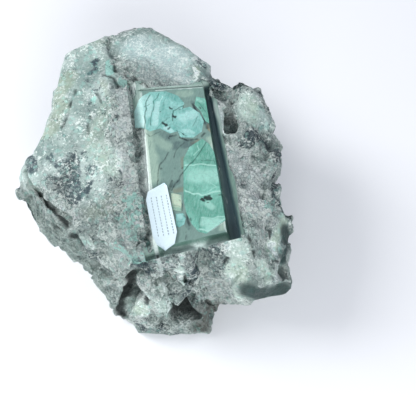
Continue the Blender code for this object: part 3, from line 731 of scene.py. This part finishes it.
def new_material(name, fields=(), settings=()):
    """A node material: its tree, its shader with some sockets set, and what the points hold."""
    material = bpy.data.materials.new(name)
    material.use_nodes = True
    tree = material.node_tree
    shader = tree.nodes["Principled BSDF"]
    for socket, value in dict(settings).items():
        shader.inputs[socket].default_value = value
    held = {field: add(tree, "ShaderNodeAttribute", {"attribute_name": field}).outputs["Fac"]
            for field in fields}
    return material, tree, shader, held


# What the polish shows, all at the height of the window: half width, strength, points
WINDOW_MARKS = {
    # bright chipped edges
    "rim": (
        (0.7, 0.7, ((-7, 56.4), (2, 57.2), (23, 58.8))),
        (0.6, 0.6, ((29, -42), (37, -36))),
    ),
    # cracks and black inclusions
    "crack": (
        (0.55, 1.0, ((2, 10.5), (0, 6), (-3, 1), (-3.8, -6), (-4, -12))),
        (0.5, 0.9, ((12, 17), (7, 12), (6, 7))),
        (0.7, 1.0, ((12, -3), (9, -8), (5, -16))), (1.2, 1.0, ((5, -10), (4, -15))),
        (0.8, 1.0, ((-2, -1), (-2, -1.5))), (0.7, 0.9, ((2, 21), (2.5, 20.5))),
        (0.7, 0.8, ((6, -1), (6.4, -1.2))), (0.9, 0.9, ((11, -1), (11.4, -0.6))),
        (1.0, 1.0, ((17, 46), (20, 40), (24, 34), (26, 28))),
        (1.0, 1.0, ((9, 21), (14, 19), (20, 20))),
        (0.9, 1.0, ((3, 22), (7, 23))), (0.4, 0.7, ((14, -43), (14, -48))),
        (1.1, 1.0, ((14, -31), (15, -36), (16, -39))), (0.9, 0.8, ((11.3, -25), (11.4, -29))),
        (1.0, 0.9, ((23, 22), (25, 24))), (0.5, 0.8, ((-14, 27), (-10, 22), (-3, 25))),
    ),
    "olive": (
        (6, 0.8, ((-12, 27), (-11, 16), (-8, 5), (-7, -8))), (3, 0.8, ((35, -41), (38, -36))),
        (2.2, 0.9, ((28, 21), (29.5, 14))), (3, 0.5, ((8, 53), (16, 55))),
        (4, 0.5, ((-6, 20), (2, 14))),
    ),
    "mica": (
        (5, 0.7, ((7, 15), (16, 17))), (3, 0.7, ((18, 46), (26, 30))), (3, 0.6, ((5, -12), (8, -10))),
        (3, 0.6, ((14, -34), (16, -40))), (4, 0.5, ((-2, 24), (4, 21))),
    ),
    "brown": (
        (1.6, 0.9, ((27, 30), (29, 24))), (2.5, 0.5, ((7, -16), (12, -15))),
        (2.0, 0.4, ((12, 6), (12, 0))), (2.0, 0.5, ((20, 19), (17, 17))),
    ),
}

# What the crystals show: deep green, milky bands, cracks, and black inclusions. On the pair, the milky
# colour is also painted light on its left bevel, where the rock beside it throws shade
CRYSTAL_MARKS = {
    "emerald_long": {
        "deep": (
            (9, 0.75, ((23, 16), (24, 8), (26, 6))), (4, 0.9, ((14, 6), (18, 4), (30, 4))),
            (8, 0.8, ((15, -22), (22, -30), (33, -30))), (2, 0.9, ((22, -34), (22, -43))),
            (5, 0.6, ((35, -20), (36, -33))), (3, 0.6, ((13, -12), (13, -20))),
        ),
        "milk_and_painted_light": (
            (7, 0.55, ((18, -6), (32, -6))),
            (0.7, 1.0, ((13, -16.5), (17, -18), (23, -19), (29, -17.5), (37, -16))),
            (0.6, 0.9, ((13, 1), (20, 2), (32, 1))),
            (0.9, 1.0, ((37.4, -34.6), (27.5, -42.6), (22.4, -41.6))),
            (4, 0.75, ((25, -37), (33, -37), (28, -41))), (3, 0.6, ((27, -25), (29, -27))),
            (0.5, 0.6, ((18, 8), (21, 12), (20, 15))), (0.6, 0.7, ((23, -34.5), (37, -33.6))),
            (0.5, 0.5, ((28, -10), (32, -14), (26, -17))),
        ),
        "crack": (
            (0.5, 1.0, ((25.4, 18), (23, 13), (21.5, 8.5), (16.5, 2.5), (12, -2.6))),
            (0.35, 0.7, ((23, 5), (31, 4.5), (32, 2))), (0.3, 0.5, ((22, -34), (22.4, -42))),
        ),
        "ink": (
            (1.0, 1.0, ((22.5, -22.2), (24, -22.6))), (1.5, 1.0, ((25, -21.5), (28.5, -21))),
            (0.9, 0.9, ((27, -20), (28.5, -19.6))), (0.7, 0.7, ((26, -24), (27, -24))),
            (0.7, 0.7, ((34, -19), (36, -18.5))), (0.8, 0.6, ((17, -36), (16, -34))),
        ),
    },
    "emerald_pair": {
        "deep": (
            (4, 0.9, ((1, 54), (9, 49))), (2.5, 0.7, ((7, 24), (6, 28))),
            (4, 0.5, ((21, 30), (19, 25))),
            (5, 0.4, ((-4, 44), (-2, 36))), (3, 0.5, ((10, 40), (14, 42))),
        ),
        "milk_and_painted_light": (
            (4, 0.7, ((-12, 50), (-12, 38))), (3, 0.7, ((-6, 46), (-7, 32))),
            (5, 0.5, ((10, 36), (17, 38))),
            (2, 0.7, ((0, 28), (4, 26))), (0.5, 0.8, ((-3, 52), (-5, 44), (-5, 36))),
            # the broad last band is painted light: it brightens the left bevel where the rock beside it
            # shades it
            (2, 0.5, ((12, 26), (17, 25))), (9, 1.0, ((-20, 50), (-21, 40), (-20, 31))),
        ),
        "crack": (
            (0.5, 1.0, ((-11, 53), (-13, 47), (-13.5, 37), (-13, 28))),
            (0.45, 0.9, ((-5, 54), (-8, 48), (-9, 37), (-10, 30))),
            (0.6, 1.0, ((11, 45), (5, 41), (4, 36), (4.5, 33))), (0.35, 0.8, ((20, 36), (17, 29))),
            (0.35, 0.7, ((-1, 50), (-2, 44))), (0.4, 0.7, ((-14, 44), (-11, 46))),
            (0.4, 0.8, ((7, 26), (12, 23), (13, 22))), (0.35, 0.6, ((-6, 27), (-2, 33), (2, 36))),
        ),
        "ink": (
            (1.7, 1.0, ((4.5, 37), (6, 36))), (1.5, 1.0, ((-1.5, 31), (1, 30.5))),
            (0.9, 0.9, ((2.5, 43), (3.5, 42.6))), (0.9, 0.8, ((1, 27), (3, 28))),
            (0.8, 0.8, ((11, 24), (12, 23))),
            (0.7, 0.6, ((-4, 40), (-3.6, 40))), (0.8, 0.6, ((8, 42), (9, 42))),
        ),
    },
    "emerald_corner": {
        "deep": ((4, 0.8, ((22, 46), (26, 38))),), "milk_and_painted_light": ((1.5, 0.5, ((20, 49), (22, 48))),),
        "crack": ((0.4, 0.7, ((21, 47), (25, 40))),), "ink": ((0.8, 0.7, ((21, 43), (22, 42))),),
    },
    "emerald_pale": {
        "deep": ((2, 0.5, ((7, -28), (10, -29))),), "milk_and_painted_light": ((4, 0.8, ((7, -20), (9, -25))),),
        "crack": ((0.4, 0.6, ((6, -26), (10, -27))),), "ink": ((0.6, 0.4, ((10, -22), (10, -23))),),
    },
    "emerald_blue": {
        "deep": ((3, 0.5, ((11, -35), (10, -38))),), "milk_and_painted_light": ((2, 0.4, ((10, -33), (11, -34))),),
        "crack": ((0.4, 0.5, ((9, -37), (12, -36))),), "ink": ((0.6, 0.5, ((13, -33), (13, -34))),),
    },
}


def mottles(tree, where, sizes, drawn=None):
    """Noise of real sizes in millimetres, each stretched from its low value so as to fill 0 to 1.

    Where it is drawn out, it is first turned and then stretched along its own axes.
    """
    if drawn:
        turn, stretch = drawn
        where = add(tree, "ShaderNodeMapping",
                    {"vector_type": "TEXTURE", "Rotation": [radians(angle) for angle in turn],
                     "Scale": stretch}, {"Vector": where}).outputs[0]
    made = []
    for size, detail, roughness, low in sizes:
        noise = add(tree, "ShaderNodeTexNoise",
                    {"Scale": 1.0 / (size * MM), "Detail": detail, "Roughness": roughness},
                    {"Vector": where})
        spread = add(tree, "ShaderNodeMapRange", {1: low, 2: 1.0 - low}, {0: noise.outputs[0]})
        made.append(spread.outputs[0])
    return made


def grains(tree, where, size, wave, reach, detail, thin, wide):
    """Grains that fit together: three random numbers for each, and a mask of their borders.

    Their borders bend, because the place that they are read at is first moved by waves of noise.
    """
    wander = add(tree, "ShaderNodeTexNoise", {"Scale": 1.0 / (wave * MM), "Detail": detail},
                 {"Vector": where})
    bent = add(tree, "ShaderNodeVectorMath", {"operation": "MULTIPLY_ADD", 1: (reach * MM,) * 3},
               {0: wander.outputs["Color"], 2: where}).outputs[0]
    cells = add(tree, "ShaderNodeTexVoronoi", {"Scale": 1.0 / (size * MM)}, {"Vector": bent})
    chance = add(tree, "ShaderNodeSeparateColor", links={0: cells.outputs["Color"]})
    borders = add(tree, "ShaderNodeTexVoronoi",
                  {"feature": "DISTANCE_TO_EDGE", "Scale": 1.0 / (size * MM)}, {"Vector": bent})
    gap = add(tree, "ShaderNodeMapRange", {1: thin, 2: wide, 3: 1.0, 4: 0.0},
              {0: borders.outputs["Distance"]})
    return chance.outputs, gap.outputs[0]


def specks(tree, share, pattern, blur=0.07):
    """Sharp specks: a mask that is 1 where the share of specks and a pattern together pass 1.

    The blur is half the range over which a speck's edge fades.
    """
    total = add(tree, "ShaderNodeMath", {"operation": "ADD"}, {0: share, 1: pattern})
    edge = add(tree, "ShaderNodeMapRange", {1: 1.0 - blur, 2: 1.0 + blur}, {0: total.outputs[0]})
    return edge.outputs[0]


def coated(tree, ground, coats):
    """A ground colour under coats. A coat has a mask, the share of it that counts, and a colour."""
    for mask, share, colour in coats:
        cover = add(tree, "ShaderNodeMath", {"operation": "MULTIPLY", 1: share}, {0: mask})
        mix = add(tree, "ShaderNodeMix", {"data_type": "RGBA"}, {0: cover.outputs[0]})
        for socket, tone in ((6, ground), (7, colour)):
            if isinstance(tone, str):
                mix.inputs[socket].default_value = linear(tone)
            else:
                tree.links.new(tone, mix.inputs[socket])
        ground = mix.outputs[2]
    return ground


def rock_material():
    """Broken mica schist with quartz: dull grey-green, with sharp white and blue-black flecks.

    The flecks are drawn out along the rock's layers. Quartz shows as white grains with dark gaps.
    """
    material, tree, shader, held = new_material(
        "mica_schist_and_quartz_broken", (*MARKS, "tone", "hollow"), {"IOR": IOR_ROCK})
    where = add(tree, "ShaderNodeTexCoord").outputs["Object"]
    broad, medium, grain, fine = mottles(tree, where, SCHIST_NOISE, SCHIST_DRAWN)
    dark_cloud, light_cloud, dark_fine, light_fine = mottles(tree, where, CLOUD_NOISE)
    bands, sheets = mottles(tree, where, BAND_NOISE, BAND_DRAWN)
    dark_grain, light_grain = (
        add(tree, "ShaderNodeMapRange", {1: 0.45, 2: 1.5},
            {0: add(tree, "ShaderNodeMath", {"operation": "MULTIPLY_ADD", 1: 0.95},
                    {0: small, 2: large}).outputs[0]}).outputs[0]
        for small, large in ((dark_fine, dark_cloud), (light_fine, light_cloud)))
    # dull and bright carry the facets' random tone; the other two are painted shade in hollows and
    # painted light on ridges, read from how far a point lies below or above its smoothed surroundings
    dull, bright, sunk, ridge_light = (
        add(tree, "ShaderNodeMapRange", {1: start, 2: end}, {0: held[name]}).outputs[0]
        for name, start, end in (("tone", 0.0, -0.7), ("tone", 0.0, 0.7),
                                 ("hollow", 0.08, 0.7), ("hollow", -0.08, -0.7)))
    grit = add(tree, "ShaderNodeMapRange", {3: 1.0, 4: 0.45}, {0: held["worn"]}).outputs[0]
    fine_grit, light_grit = (
        add(tree, "ShaderNodeMath", {"operation": "MULTIPLY"}, {0: pattern, 1: grit}).outputs[0]
        for pattern in (fine, light_fine))
    chance, gap = grains(tree, where, *QUARTZ_GRAINS)
    rich = add(tree, "ShaderNodeMapRange", {1: 0.4, 2: 1.0, 4: 0.9}, {0: held["quartz"]}).outputs[0]
    quartz = specks(tree, rich, chance[0], 0.12)
    quartz_gap = add(tree, "ShaderNodeMath", {"operation": "MULTIPLY"},
                     {0: quartz, 1: gap}).outputs[0]
    quartz_tone = coated(tree, QUARTZ_GREY, ((chance[1], 1.0, QUARTZ_WHITE),))
    glassy_tone = coated(tree, GLASSY_DARK, ((medium, 0.8, GLASSY_LIGHT),))
    pale_tone = coated(tree, PALE_COOL, ((broad, 1.0, PALE_WARM),))
    layer_tone = coated(tree, LAYER_DARK, ((sheets, 1.0, LAYER_LIGHT),))
    mica = add(tree, "ShaderNodeMath", {"operation": "MULTIPLY", 1: 0.85},
               {0: held["mica"]}).outputs[0]
    sugar_grains = add(tree, "ShaderNodeMath", {"operation": "MULTIPLY"},
                       {0: held["sugar"], 1: specks(tree, fine, light_grain, 0.25)}).outputs[0]
    ground = coated(tree, GROUND_MIDDLE, (
        (broad, 0.5, GROUND_DARK),
        (bands, 0.3, BAND),
        (medium, 0.6, GROUND_LIGHT),
        (held["worn"], 0.62, SKIN),
        (dull, 0.42, FACET_DARK),
        (bright, 0.45, FACET_LIGHT),
        (held["olive"], 0.65, OLIVE),
        (held["sugar"], 0.85, SUGAR),
        (held["pale"], 0.8, pale_tone),
        # painted light on ridges and painted shade in hollows
        (ridge_light, 0.5, FACET_LIGHT),
        (sunk, 0.35, FACET_DARK),
        (fine_grit, 0.6, SPECK_DARK),
        (rich, 0.5, QUARTZ_WHITE),
        (light_grit, 0.5, SPECK_LIGHT),
        (specks(tree, mica, medium, 0.3), 0.5, MICA_GREY),
        (specks(tree, mica, grain, 0.12), 0.75, MICA_BLACK),
        (specks(tree, mica, dark_grain, 0.12), 0.75, MICA_BLACK),
        (specks(tree, held["quartz"], light_grain, 0.1), 0.85, SPECK_LIGHT),
        (quartz, 0.75, quartz_tone),
        (quartz_gap, 0.45, QUARTZ_GAP),
        (held["brown"], 0.75, BROWN),
        (specks(tree, held["emerald"], chance[2], 0.2), 0.72, EMERALD_CRUMB),
        (sugar_grains, 0.5, SPECK_LIGHT),
        (held["layers"], 0.55, layer_tone),
        (held["glassy"], 0.94, glassy_tone),
        # painted shade in hollows, trenches and the cave
        (held["shade"], 0.94, SHADE),
        (held["crack"], 0.85, CRACK),
        (held["rim"], 0.85, RIM),
    ))
    tree.links.new(ground, shader.inputs["Base Color"])
    for socket, broken, glassy in (("Roughness", ROUGH_BROKEN, ROUGH_GLASSY),
                                   ("Specular IOR Level", SHINE_BROKEN, SHINE_GLASSY)):
        given = add(tree, "ShaderNodeMapRange", {3: broken, 4: glassy}, {0: held["glassy"]})
        tree.links.new(given.outputs[0], shader.inputs[socket])
    low = add(tree, "ShaderNodeMath", {"operation": "MULTIPLY", 1: -0.7}, {0: quartz_gap})
    middle = add(tree, "ShaderNodeMath", {"operation": "MULTIPLY_ADD", 1: 1.2},
                 {0: light_grain, 2: low.outputs[0]})
    height = add(tree, "ShaderNodeMath", {"operation": "MULTIPLY_ADD", 1: 0.5},
                 {0: fine, 2: middle.outputs[0]})
    smooth = held["glassy"]
    for name in ("pale", "worn"):
        smooth = add(tree, "ShaderNodeMath", {"operation": "MAXIMUM"},
                     {0: smooth, 1: held[name]}).outputs[0]
    strength = add(tree, "ShaderNodeMapRange", {3: 1.0, 4: 0.3}, {0: smooth})
    bump = add(tree, "ShaderNodeBump", {"Distance": ROCK_BUMP * MM},
               {"Strength": strength.outputs[0], "Height": height.outputs[0]})
    tree.links.new(bump.outputs[0], shader.inputs["Normal"])
    return material


def polished_material():
    """The same rock sawn and polished: smooth grey-green with soft clouds and thin black cracks."""
    material, tree, shader, held = new_material(
        "mica_schist_polished", WINDOW_MARKS, {"Roughness": ROUGH_POLISHED, "IOR": IOR_ROCK})
    where = add(tree, "ShaderNodeTexCoord").outputs["Object"]
    broad, medium, fine = mottles(tree, where, POLISH_NOISE, POLISH_DRAWN)
    uneven = add(tree, "ShaderNodeMapRange", {3: 0.25, 4: 1.0}, {0: medium}).outputs[0]
    worn_crack = add(tree, "ShaderNodeMath", {"operation": "MULTIPLY"},
                     {0: held["crack"], 1: uneven}).outputs[0]
    ground = coated(tree, POLISH_MIDDLE, (
        (broad, 0.6, POLISH_DARK),
        (medium, 0.5, POLISH_LIGHT),
        (held["olive"], 0.75, POLISH_OLIVE),
        (held["brown"], 0.8, POLISH_BROWN),
        (fine, 0.25, SPECK_DARK),
        (specks(tree, held["mica"], medium, 0.4), 0.55, MICA_BLACK),
        (worn_crack, 0.95, CRACK),
        (held["rim"], 0.85, RIM),
    ))
    tree.links.new(ground, shader.inputs["Base Color"])
    return material


def sawn_material():
    """The walls of the saw cuts: dark smooth rock with fine lines left by the blade."""
    material, tree, shader, held = new_material(
        "mica_schist_sawn", WALL_MARKS, {"Roughness": ROUGH_SAWN, "IOR": IOR_ROCK})
    where = add(tree, "ShaderNodeTexCoord").outputs["Object"]
    lines, = mottles(tree, where, BLADE_NOISE, BLADE_DRAWN)
    broad, grain = mottles(tree, where, SAWN_NOISE)
    ground = coated(tree, SAWN_LIGHT, (
        (broad, 0.5, SAWN_DARK),
        (lines, 0.35, SAWN_LINE),
        (held["green"], 0.95, SAWN_GREEN),
        # the right groove's dark rock and its painted shade
        (held["navy"], 0.95, SAWN_NAVY),
        (held["light"], 0.6, RIM),
        (held["rim"], 0.8, RIM),
        (lines, 0.25, SAWN_LINE),
        (specks(tree, held["flecks"], grain), 0.85, MICA_BLACK),
        (specks(tree, held["flecks"], lines), 0.6, SPECK_LIGHT),
    ))
    tree.links.new(ground, shader.inputs["Base Color"])
    bump = add(tree, "ShaderNodeBump", {"Strength": SAWN_BUMP_SHARE, "Distance": SAWN_BUMP * MM},
               {"Height": lines})
    tree.links.new(bump.outputs[0], shader.inputs["Normal"])
    return material


def emerald_material(name, light, deep, milk_and_painted_light):
    """Beryl clouded by healed cracks, polished: light goes in a little way and glows green."""
    material, tree, shader, held = new_material(name, ("deep", "milk_and_painted_light", "crack", "ink"), {
        "Roughness": ROUGH_BERYL, "IOR": IOR_BERYL, "Subsurface Weight": GLOW_SHARE,
        "Subsurface Radius": GLOW_REACH, "Subsurface Scale": GLOW_DEPTH * MM})
    where = add(tree, "ShaderNodeTexCoord").outputs["Object"]
    threads, = mottles(tree, where, THREAD_NOISE, THREAD_DRAWN)
    broad, veil, fine = mottles(tree, where, VEIL_NOISE)
    chance, seam = grains(tree, where, *CRYSTAL_BLOCKS)
    fissure = add(tree, "ShaderNodeMath", {"operation": "MULTIPLY"}, {0: seam, 1: veil}).outputs[0]
    ground = coated(tree, light, (
        (chance[0], 0.3, deep),
        (chance[1], 0.25, milk_and_painted_light),
        (broad, 0.4, deep),
        (held["deep"], 0.8, deep),
        (veil, 0.45, deep),
        (threads, 0.3, milk_and_painted_light),
        (held["milk_and_painted_light"], 0.6, milk_and_painted_light),
        (specks(tree, held["milk_and_painted_light"], fine, 0.4), 0.5, milk_and_painted_light),
        (fissure, 0.22, CRYSTAL_CRACK),
        (fine, 0.28, CRYSTAL_CRACK),
        (held["crack"], 0.75, CRYSTAL_CRACK),
        (held["ink"], 0.95, INK),
    ))
    tree.links.new(ground, shader.inputs["Base Color"])
    return material


def paper_material():
    """Coated card: white with a faint mottle of its fibres, and dashed writing lines."""
    material, tree, shader, held = new_material(
        "white_card_ruled", ("dashes",), {"Roughness": ROUGH_CARD})
    where = add(tree, "ShaderNodeTexCoord").outputs["Object"]
    fibres, = mottles(tree, where, FIBRE_NOISE)
    ground = coated(tree, PAPER, ((fibres, 0.6, PAPER_SHADE), (held["dashes"], 0.8, PAPER_INK)))
    tree.links.new(ground, shader.inputs["Base Color"])
    return material


def saw_lines(points):
    """Strength of the white lines that the blade left: beside the window and down the front.

    The first is read from the distance to the window's left side as seen from above, the second
    from the distance to the blade's plane.
    """
    start, _, away, _ = window_side(0)
    off = (points[:, :2] - start) @ away - LINE_OUT
    beside = LINE_SHOW * fade(np.abs(off), LINE_HALF, LINE_CORE)
    beside *= points[:, 2] > WINDOW_HEIGHT - POLISH_REACH
    beside *= (points[:, 1] < CUT_KEPT) & (points[:, 1] > WINDOW[1][1])
    top, foot = np.array(KERF)
    side = np.cross(foot - top, (0.0, 0.0, 1.0))
    side /= np.linalg.norm(side)
    below = fade(np.abs((points - top) @ side), KERF_HALF, KERF_CORE)
    below *= line_distance(points, KERF_LINE) < KERF_REACH
    return np.maximum(beside, below)


def edge_limit(points):
    """Longest edge allowed at each point of the stone."""
    y, z = points[:, 1], points[:, 2]
    limit = np.full(len(points), EDGE_REST)
    limit = np.where((y < FRONT_EDGE) & (z > FRONT_FOOT), EDGE_FRONT, limit)
    limit = np.where(z > TOP_EDGE, EDGE_TOP, limit)
    limit = np.where(saw_reach(points) > 0, EDGE_CUT, limit)
    limit = np.where(line_distance(points, KERF_LINE) < KERF_SPARE, EDGE_KERF, limit)
    window = in_window(points, WINDOW_SPARE) & (z > WINDOW_HEIGHT - WINDOW_SPARE)
    window |= (saw_lines(points) > 0.0) & (z > WINDOW_HEIGHT - POLISH_REACH)
    return np.where(window, EDGE_WINDOW, limit)


def make_rock():
    """The stone: the frame's solid with fine edges, and broken facets dug in off the saw cuts.

    A point moves along its normal by the sum of the lumps and facets, each height times its share.
    A triangle's kind is 0 where the rock is broken, 1 polished, 2 sawn, and 3 where it rests.
    """
    points, triangles = read_node("matrix_rock")
    middles = points[triangles].mean(axis=1)
    cut = saw_reach(middles)
    normals = face_normals(points, triangles)
    level = normals[:, 2] > LEVEL_SHARE * np.linalg.norm(normals, axis=1)
    at_top = np.abs(middles[:, 2] - WINDOW_HEIGHT) < SAW_SLACK
    window = level & at_top & in_window(middles, SAW_SLACK)
    pocket = in_window(middles, 0.0) & ~window & (middles[:, 2] > POCKET_FOOT) & (cut < 0)
    foot = np.abs(middles[:, 2]) < SAW_SLACK
    cut_kept = (cut > 0) | (cut == 0) & (middles[:, 1] > CUT_KEPT)
    kinds = np.select([window, pocket, cut_kept, foot], [1, 1, 2, 3], 0)
    for stage in REFINE_STAGES:
        triangles = turned(points, triangles, kinds)
        points, triangles, kinds = refine(points, triangles, kinds,
                                          lambda at: stage * edge_limit(at))
    triangles = turned(points, triangles, kinds)
    middles = points[triangles].mean(axis=1)
    kinds[in_window(middles, 0.0) & (middles[:, 2] > WINDOW_HEIGHT - POLISH_REACH)] = 1
    free = np.ones(len(points), bool)
    free[triangles[kinds > 0].ravel()] = False
    fields = {name: marked(points, marks, MARK_RAGGED[name], SEED + 10 * n)
              for n, (name, marks) in enumerate(MARKS.items())}
    broken_out = free & (saw_reach(points) == 0)
    sunk = np.maximum(WINDOW_HEIGHT - points[:, 2], 0.0)
    sunk *= fade(points[:, 1], CUT_KEPT, CUT_KEPT - CUT_FADE)
    points[:, 2] += np.where(broken_out, (1.0 - CUT_SHARE) * sunk, 0.0)
    points = smoothed(points, triangles, free & (fields["worn"] > WORN_FROM), WORN_ROUNDS)
    normals = point_normals(points, triangles)
    height = sum(tall * lumps(points, size, SEED + 100 + k) for k, (size, tall) in enumerate(LUMPS))
    height -= BROKEN_DEPTH
    fields["tone"] = np.zeros(len(points))
    for k, (size, deep, share) in enumerate(FACETS):
        broken, tone = facets(points, size, SEED + 200 + 30 * k)
        height += deep * broken
        fields["tone"] += share * tone
    calm = np.max([fields[name] * share for name, share in CALM.items()], axis=0)
    across = np.array(LAYER_ACROSS) / np.linalg.norm(LAYER_ACROSS)
    size, share = LAYER_WAVE
    sheet = (points @ across) / LAYER_SIZE + share * lumps(points, size, SEED + 300)
    height = height * (1.0 - calm) + LAYER_STEP * fields["layers"] * (sheet % 1.0 - 0.5)
    height -= CRACK_DEPTH * fields["crack"] + SHADE_DEPTH * fields["shade"]
    near_foot = fade(points[:, 2], *FOOT_FADE)
    points = np.where(free[:, None], points + normals * (height * near_foot)[:, None], points)
    points[:, 2] = np.maximum(points[:, 2], 0.0)
    fields["rim"] = np.maximum(fields["rim"], saw_lines(points))
    # how far each point lies below its smoothed surroundings, for painted shade in hollows and painted
    # light on ridges
    around = smoothed(points, triangles, free, HOLLOW_ROUNDS)
    fields["hollow"] = np.einsum("ij,ij->i", around - points, point_normals(points, triangles))
    return points, triangles, kinds, fields


def finish_rock(materials):
    """The stone's mesh, with what each point holds, in place of the frame's solid."""
    points, triangles, kinds, fields = make_rock()
    on_window = np.zeros(len(points), bool)
    on_window[triangles[kinds == 1].ravel()] = True
    for n, (name, marks) in enumerate(WINDOW_MARKS.items()):
        ragged = THIN_RAGGED if name in ("crack", "rim") else BROAD_RAGGED
        drawn = marked(points, marks, ragged, SEED + 400 + 10 * n, flat=True)
        kept = saw_lines(points) if name == "rim" else 0.0
        fields[name] = np.where(on_window, np.maximum(drawn, kept), fields[name])
    for n, (name, marks) in enumerate(WALL_MARKS.items()):
        drawn = marked(points, marks, WALL_RAGGED, SEED + 450 + 10 * n)
        fields[name] = np.maximum(drawn, fields[name]) if name == "rim" else drawn
    skin = 1.0 - np.max([fields[name] * share for name, share in FEW_FLECKS.items()], axis=0)
    room = {"mica": 1.0 - QUARTZ_CLEARS * fields["quartz"], "quartz": 1.0}
    for n, (name, base, size) in enumerate(COMMON_FLECKS):
        common = base + FLECK_SPREAD * lumps(points, size, SEED + 500 + 10 * n)
        common = common * skin * room[name]
        fields[name] = np.where(on_window, fields[name], np.maximum(fields[name], common))
    fields["mica"] *= 1.0 - fields["sugar"] * ~on_window
    slots = np.where(kinds == 3, 0, kinds)
    stone = make_piece("stone", points, triangles, materials, slots, STONE_SHARP, **fields)
    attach(stone, "root")
    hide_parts("matrix_rock")


def make_crystal(name, material):
    """A crystal grown by the gap of its pocket, with what the polish shows drawn at its top."""
    points, triangles = read_node(name)
    sideways = point_normals(points, triangles)[:, :2]
    lean = np.maximum(np.linalg.norm(sideways, axis=1), CRYSTAL_LEAN)
    points[:, :2] += CRYSTAL_GROWTH * (sideways / lean[:, None])
    kinds = np.zeros(len(triangles), int)
    points, triangles, kinds = refine(
        points, triangles, kinds,
        lambda at: np.where(at[:, 2] > CRYSTAL_TOP, CRYSTAL_EDGE, CRYSTAL_EDGE_BELOW))
    fields = {}
    for n, (key, marks) in enumerate(CRYSTAL_MARKS[name].items()):
        ragged = SPOT_RAGGED if key in ("deep", "ink") else VEIL_RAGGED
        fields[key] = marked(points, marks, ragged, SEED + 600 + 10 * n, flat=True)
    piece = make_piece(name + "_polished", points, triangles, [material], **fields)
    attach(piece, "root")
    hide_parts(name)


def make_tag(material):
    """The tag: its outline filled between two curves, bent up a little at its long edges.

    A point goes a share u across from the left edge to the right one and a share v along from
    the back tip to the front one. Its height is a parabola in u, lowest along the middle.
    """
    v = np.linspace(0.0, 1.0, TAG_STEPS[1])
    u = np.linspace(0.0, 1.0, TAG_STEPS[0])
    sides = []
    for side in (np.array(TAG_LEFT), np.array(TAG_RIGHT)):
        lengths = np.cumsum(np.linalg.norm(np.diff(side, axis=0), axis=1))
        lengths = np.concatenate(([0.0], lengths))
        sides.append(np.stack([np.interp(v, lengths / lengths[-1], side[:, k]) for k in (0, 1)], axis=1))
    flat = sides[0][None] * (1.0 - u[:, None, None]) + sides[1][None] * u[:, None, None]
    bend = TAG_BEND * (2.0 * u[:, None] - 1.0) ** 2 + 0.0 * v[None]
    low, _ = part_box("paper_tag")
    height = low.z / MM + bend
    top = np.concatenate((flat, (height + TAG_THICKNESS)[..., None]), axis=2)
    under = np.concatenate((flat, height[..., None]), axis=2)
    points = np.concatenate((top.reshape(-1, 3), under.reshape(-1, 3)))
    columns, rows = TAG_STEPS
    index = np.arange(columns * rows).reshape(columns, rows)
    a, b, c, d = index[:-1, :-1], index[1:, :-1], index[1:, 1:], index[:-1, 1:]
    upper = np.concatenate([np.stack(t, axis=2).reshape(-1, 3) for t in ((a, c, b), (a, d, c))])
    lower = upper[:, ::-1] + columns * rows
    rim = np.concatenate((index[0, :], index[1:, -1], index[-1, -2::-1], index[-2:0:-1, 0]))
    ahead = np.roll(rim, -1)
    wall = np.concatenate((np.stack((rim, rim + columns * rows, ahead), axis=1),
                           np.stack((ahead, rim + columns * rows, ahead + columns * rows), axis=1)))
    triangles = np.concatenate((upper, lower, wall))
    across, along = points[:, :2] @ TAG_ACROSS, points[:, :2] @ TAG_ALONG
    row = np.clip(np.round((across - TAG_FIRST_ROW) / TAG_ROW_GAP), 0, TAG_ROWS - 1)
    off_row = np.abs(across - TAG_FIRST_ROW - row * TAG_ROW_GAP)
    off_dash = np.abs(along / TAG_DASH_GAP % 1.0 - 0.5) * TAG_DASH_GAP
    dashes = (off_row < TAG_DASH_THICK) & (off_dash < TAG_DASH_LONG)
    dashes &= (along > TAG_START) & (along < TAG_END)
    piece = make_piece("tag_card", points, triangles, [material], dashes=dashes)
    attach(piece, "root")
    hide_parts("paper_tag")


def make_stage():
    """A plain pale floor, soft light from the upper left, and the camera."""
    bpy.ops.mesh.primitive_plane_add(size=FLOOR_SIZE)
    floor = bpy.context.object
    floor.name = "floor"
    material, *_ = new_material(
        "matt_white_floor", (), {"Base Color": linear(FLOOR), "Roughness": ROUGH_FLOOR})
    floor.data.materials.append(material)
    world = bpy.data.worlds.new("soft_sky")
    world.use_nodes = True
    sky = world.node_tree.nodes["Background"]
    sky.inputs["Color"].default_value = linear(SKY)
    sky.inputs["Strength"].default_value = SKY_STRENGTH
    bpy.context.scene.world = world
    for name, place, size, watts in LIGHTS:
        lamp = bpy.data.lights.new(name, "AREA")
        lamp.size = size
        lamp.energy = watts
        thing = bpy.data.objects.new(name, lamp)
        thing.location = place
        aim = -thing.location
        thing.rotation_euler = aim.to_track_quat("-Z", "Y").to_euler()
        bpy.context.scene.collection.objects.link(thing)
    lens = bpy.data.cameras.new("camera")
    lens.lens = CAMERA_LENS
    lens.sensor_width = SENSOR
    lens.clip_start = 0.01
    camera = bpy.data.objects.new("camera", lens)
    camera.location = [part * MM for part in CAMERA_PLACE]
    camera.rotation_euler = (radians(CAMERA_TIP), 0.0, 0.0)
    bpy.context.scene.collection.objects.link(camera)
    bpy.context.scene.camera = camera
    bpy.context.scene.view_settings.view_transform = "Standard"


finish_rock([rock_material(), polished_material(), sawn_material()])
long_green = emerald_material("beryl_green_milky", LONG_LIGHT, LONG_DEEP, LONG_MILK)
pair_green = emerald_material("beryl_blue_green_milky", PAIR_LIGHT, PAIR_DEEP, PAIR_MILK_AND_PAINTED_LIGHT)
pale_green = emerald_material("beryl_pale_milky", PALE_LIGHT, PALE_DEEP, PALE_MILK)
for crystal, material in (("emerald_long", long_green), ("emerald_pair", pair_green),
                          ("emerald_corner", long_green), ("emerald_pale", pale_green),
                          ("emerald_blue", pair_green)):
    make_crystal(crystal, material)
make_tag(paper_material())
make_stage()
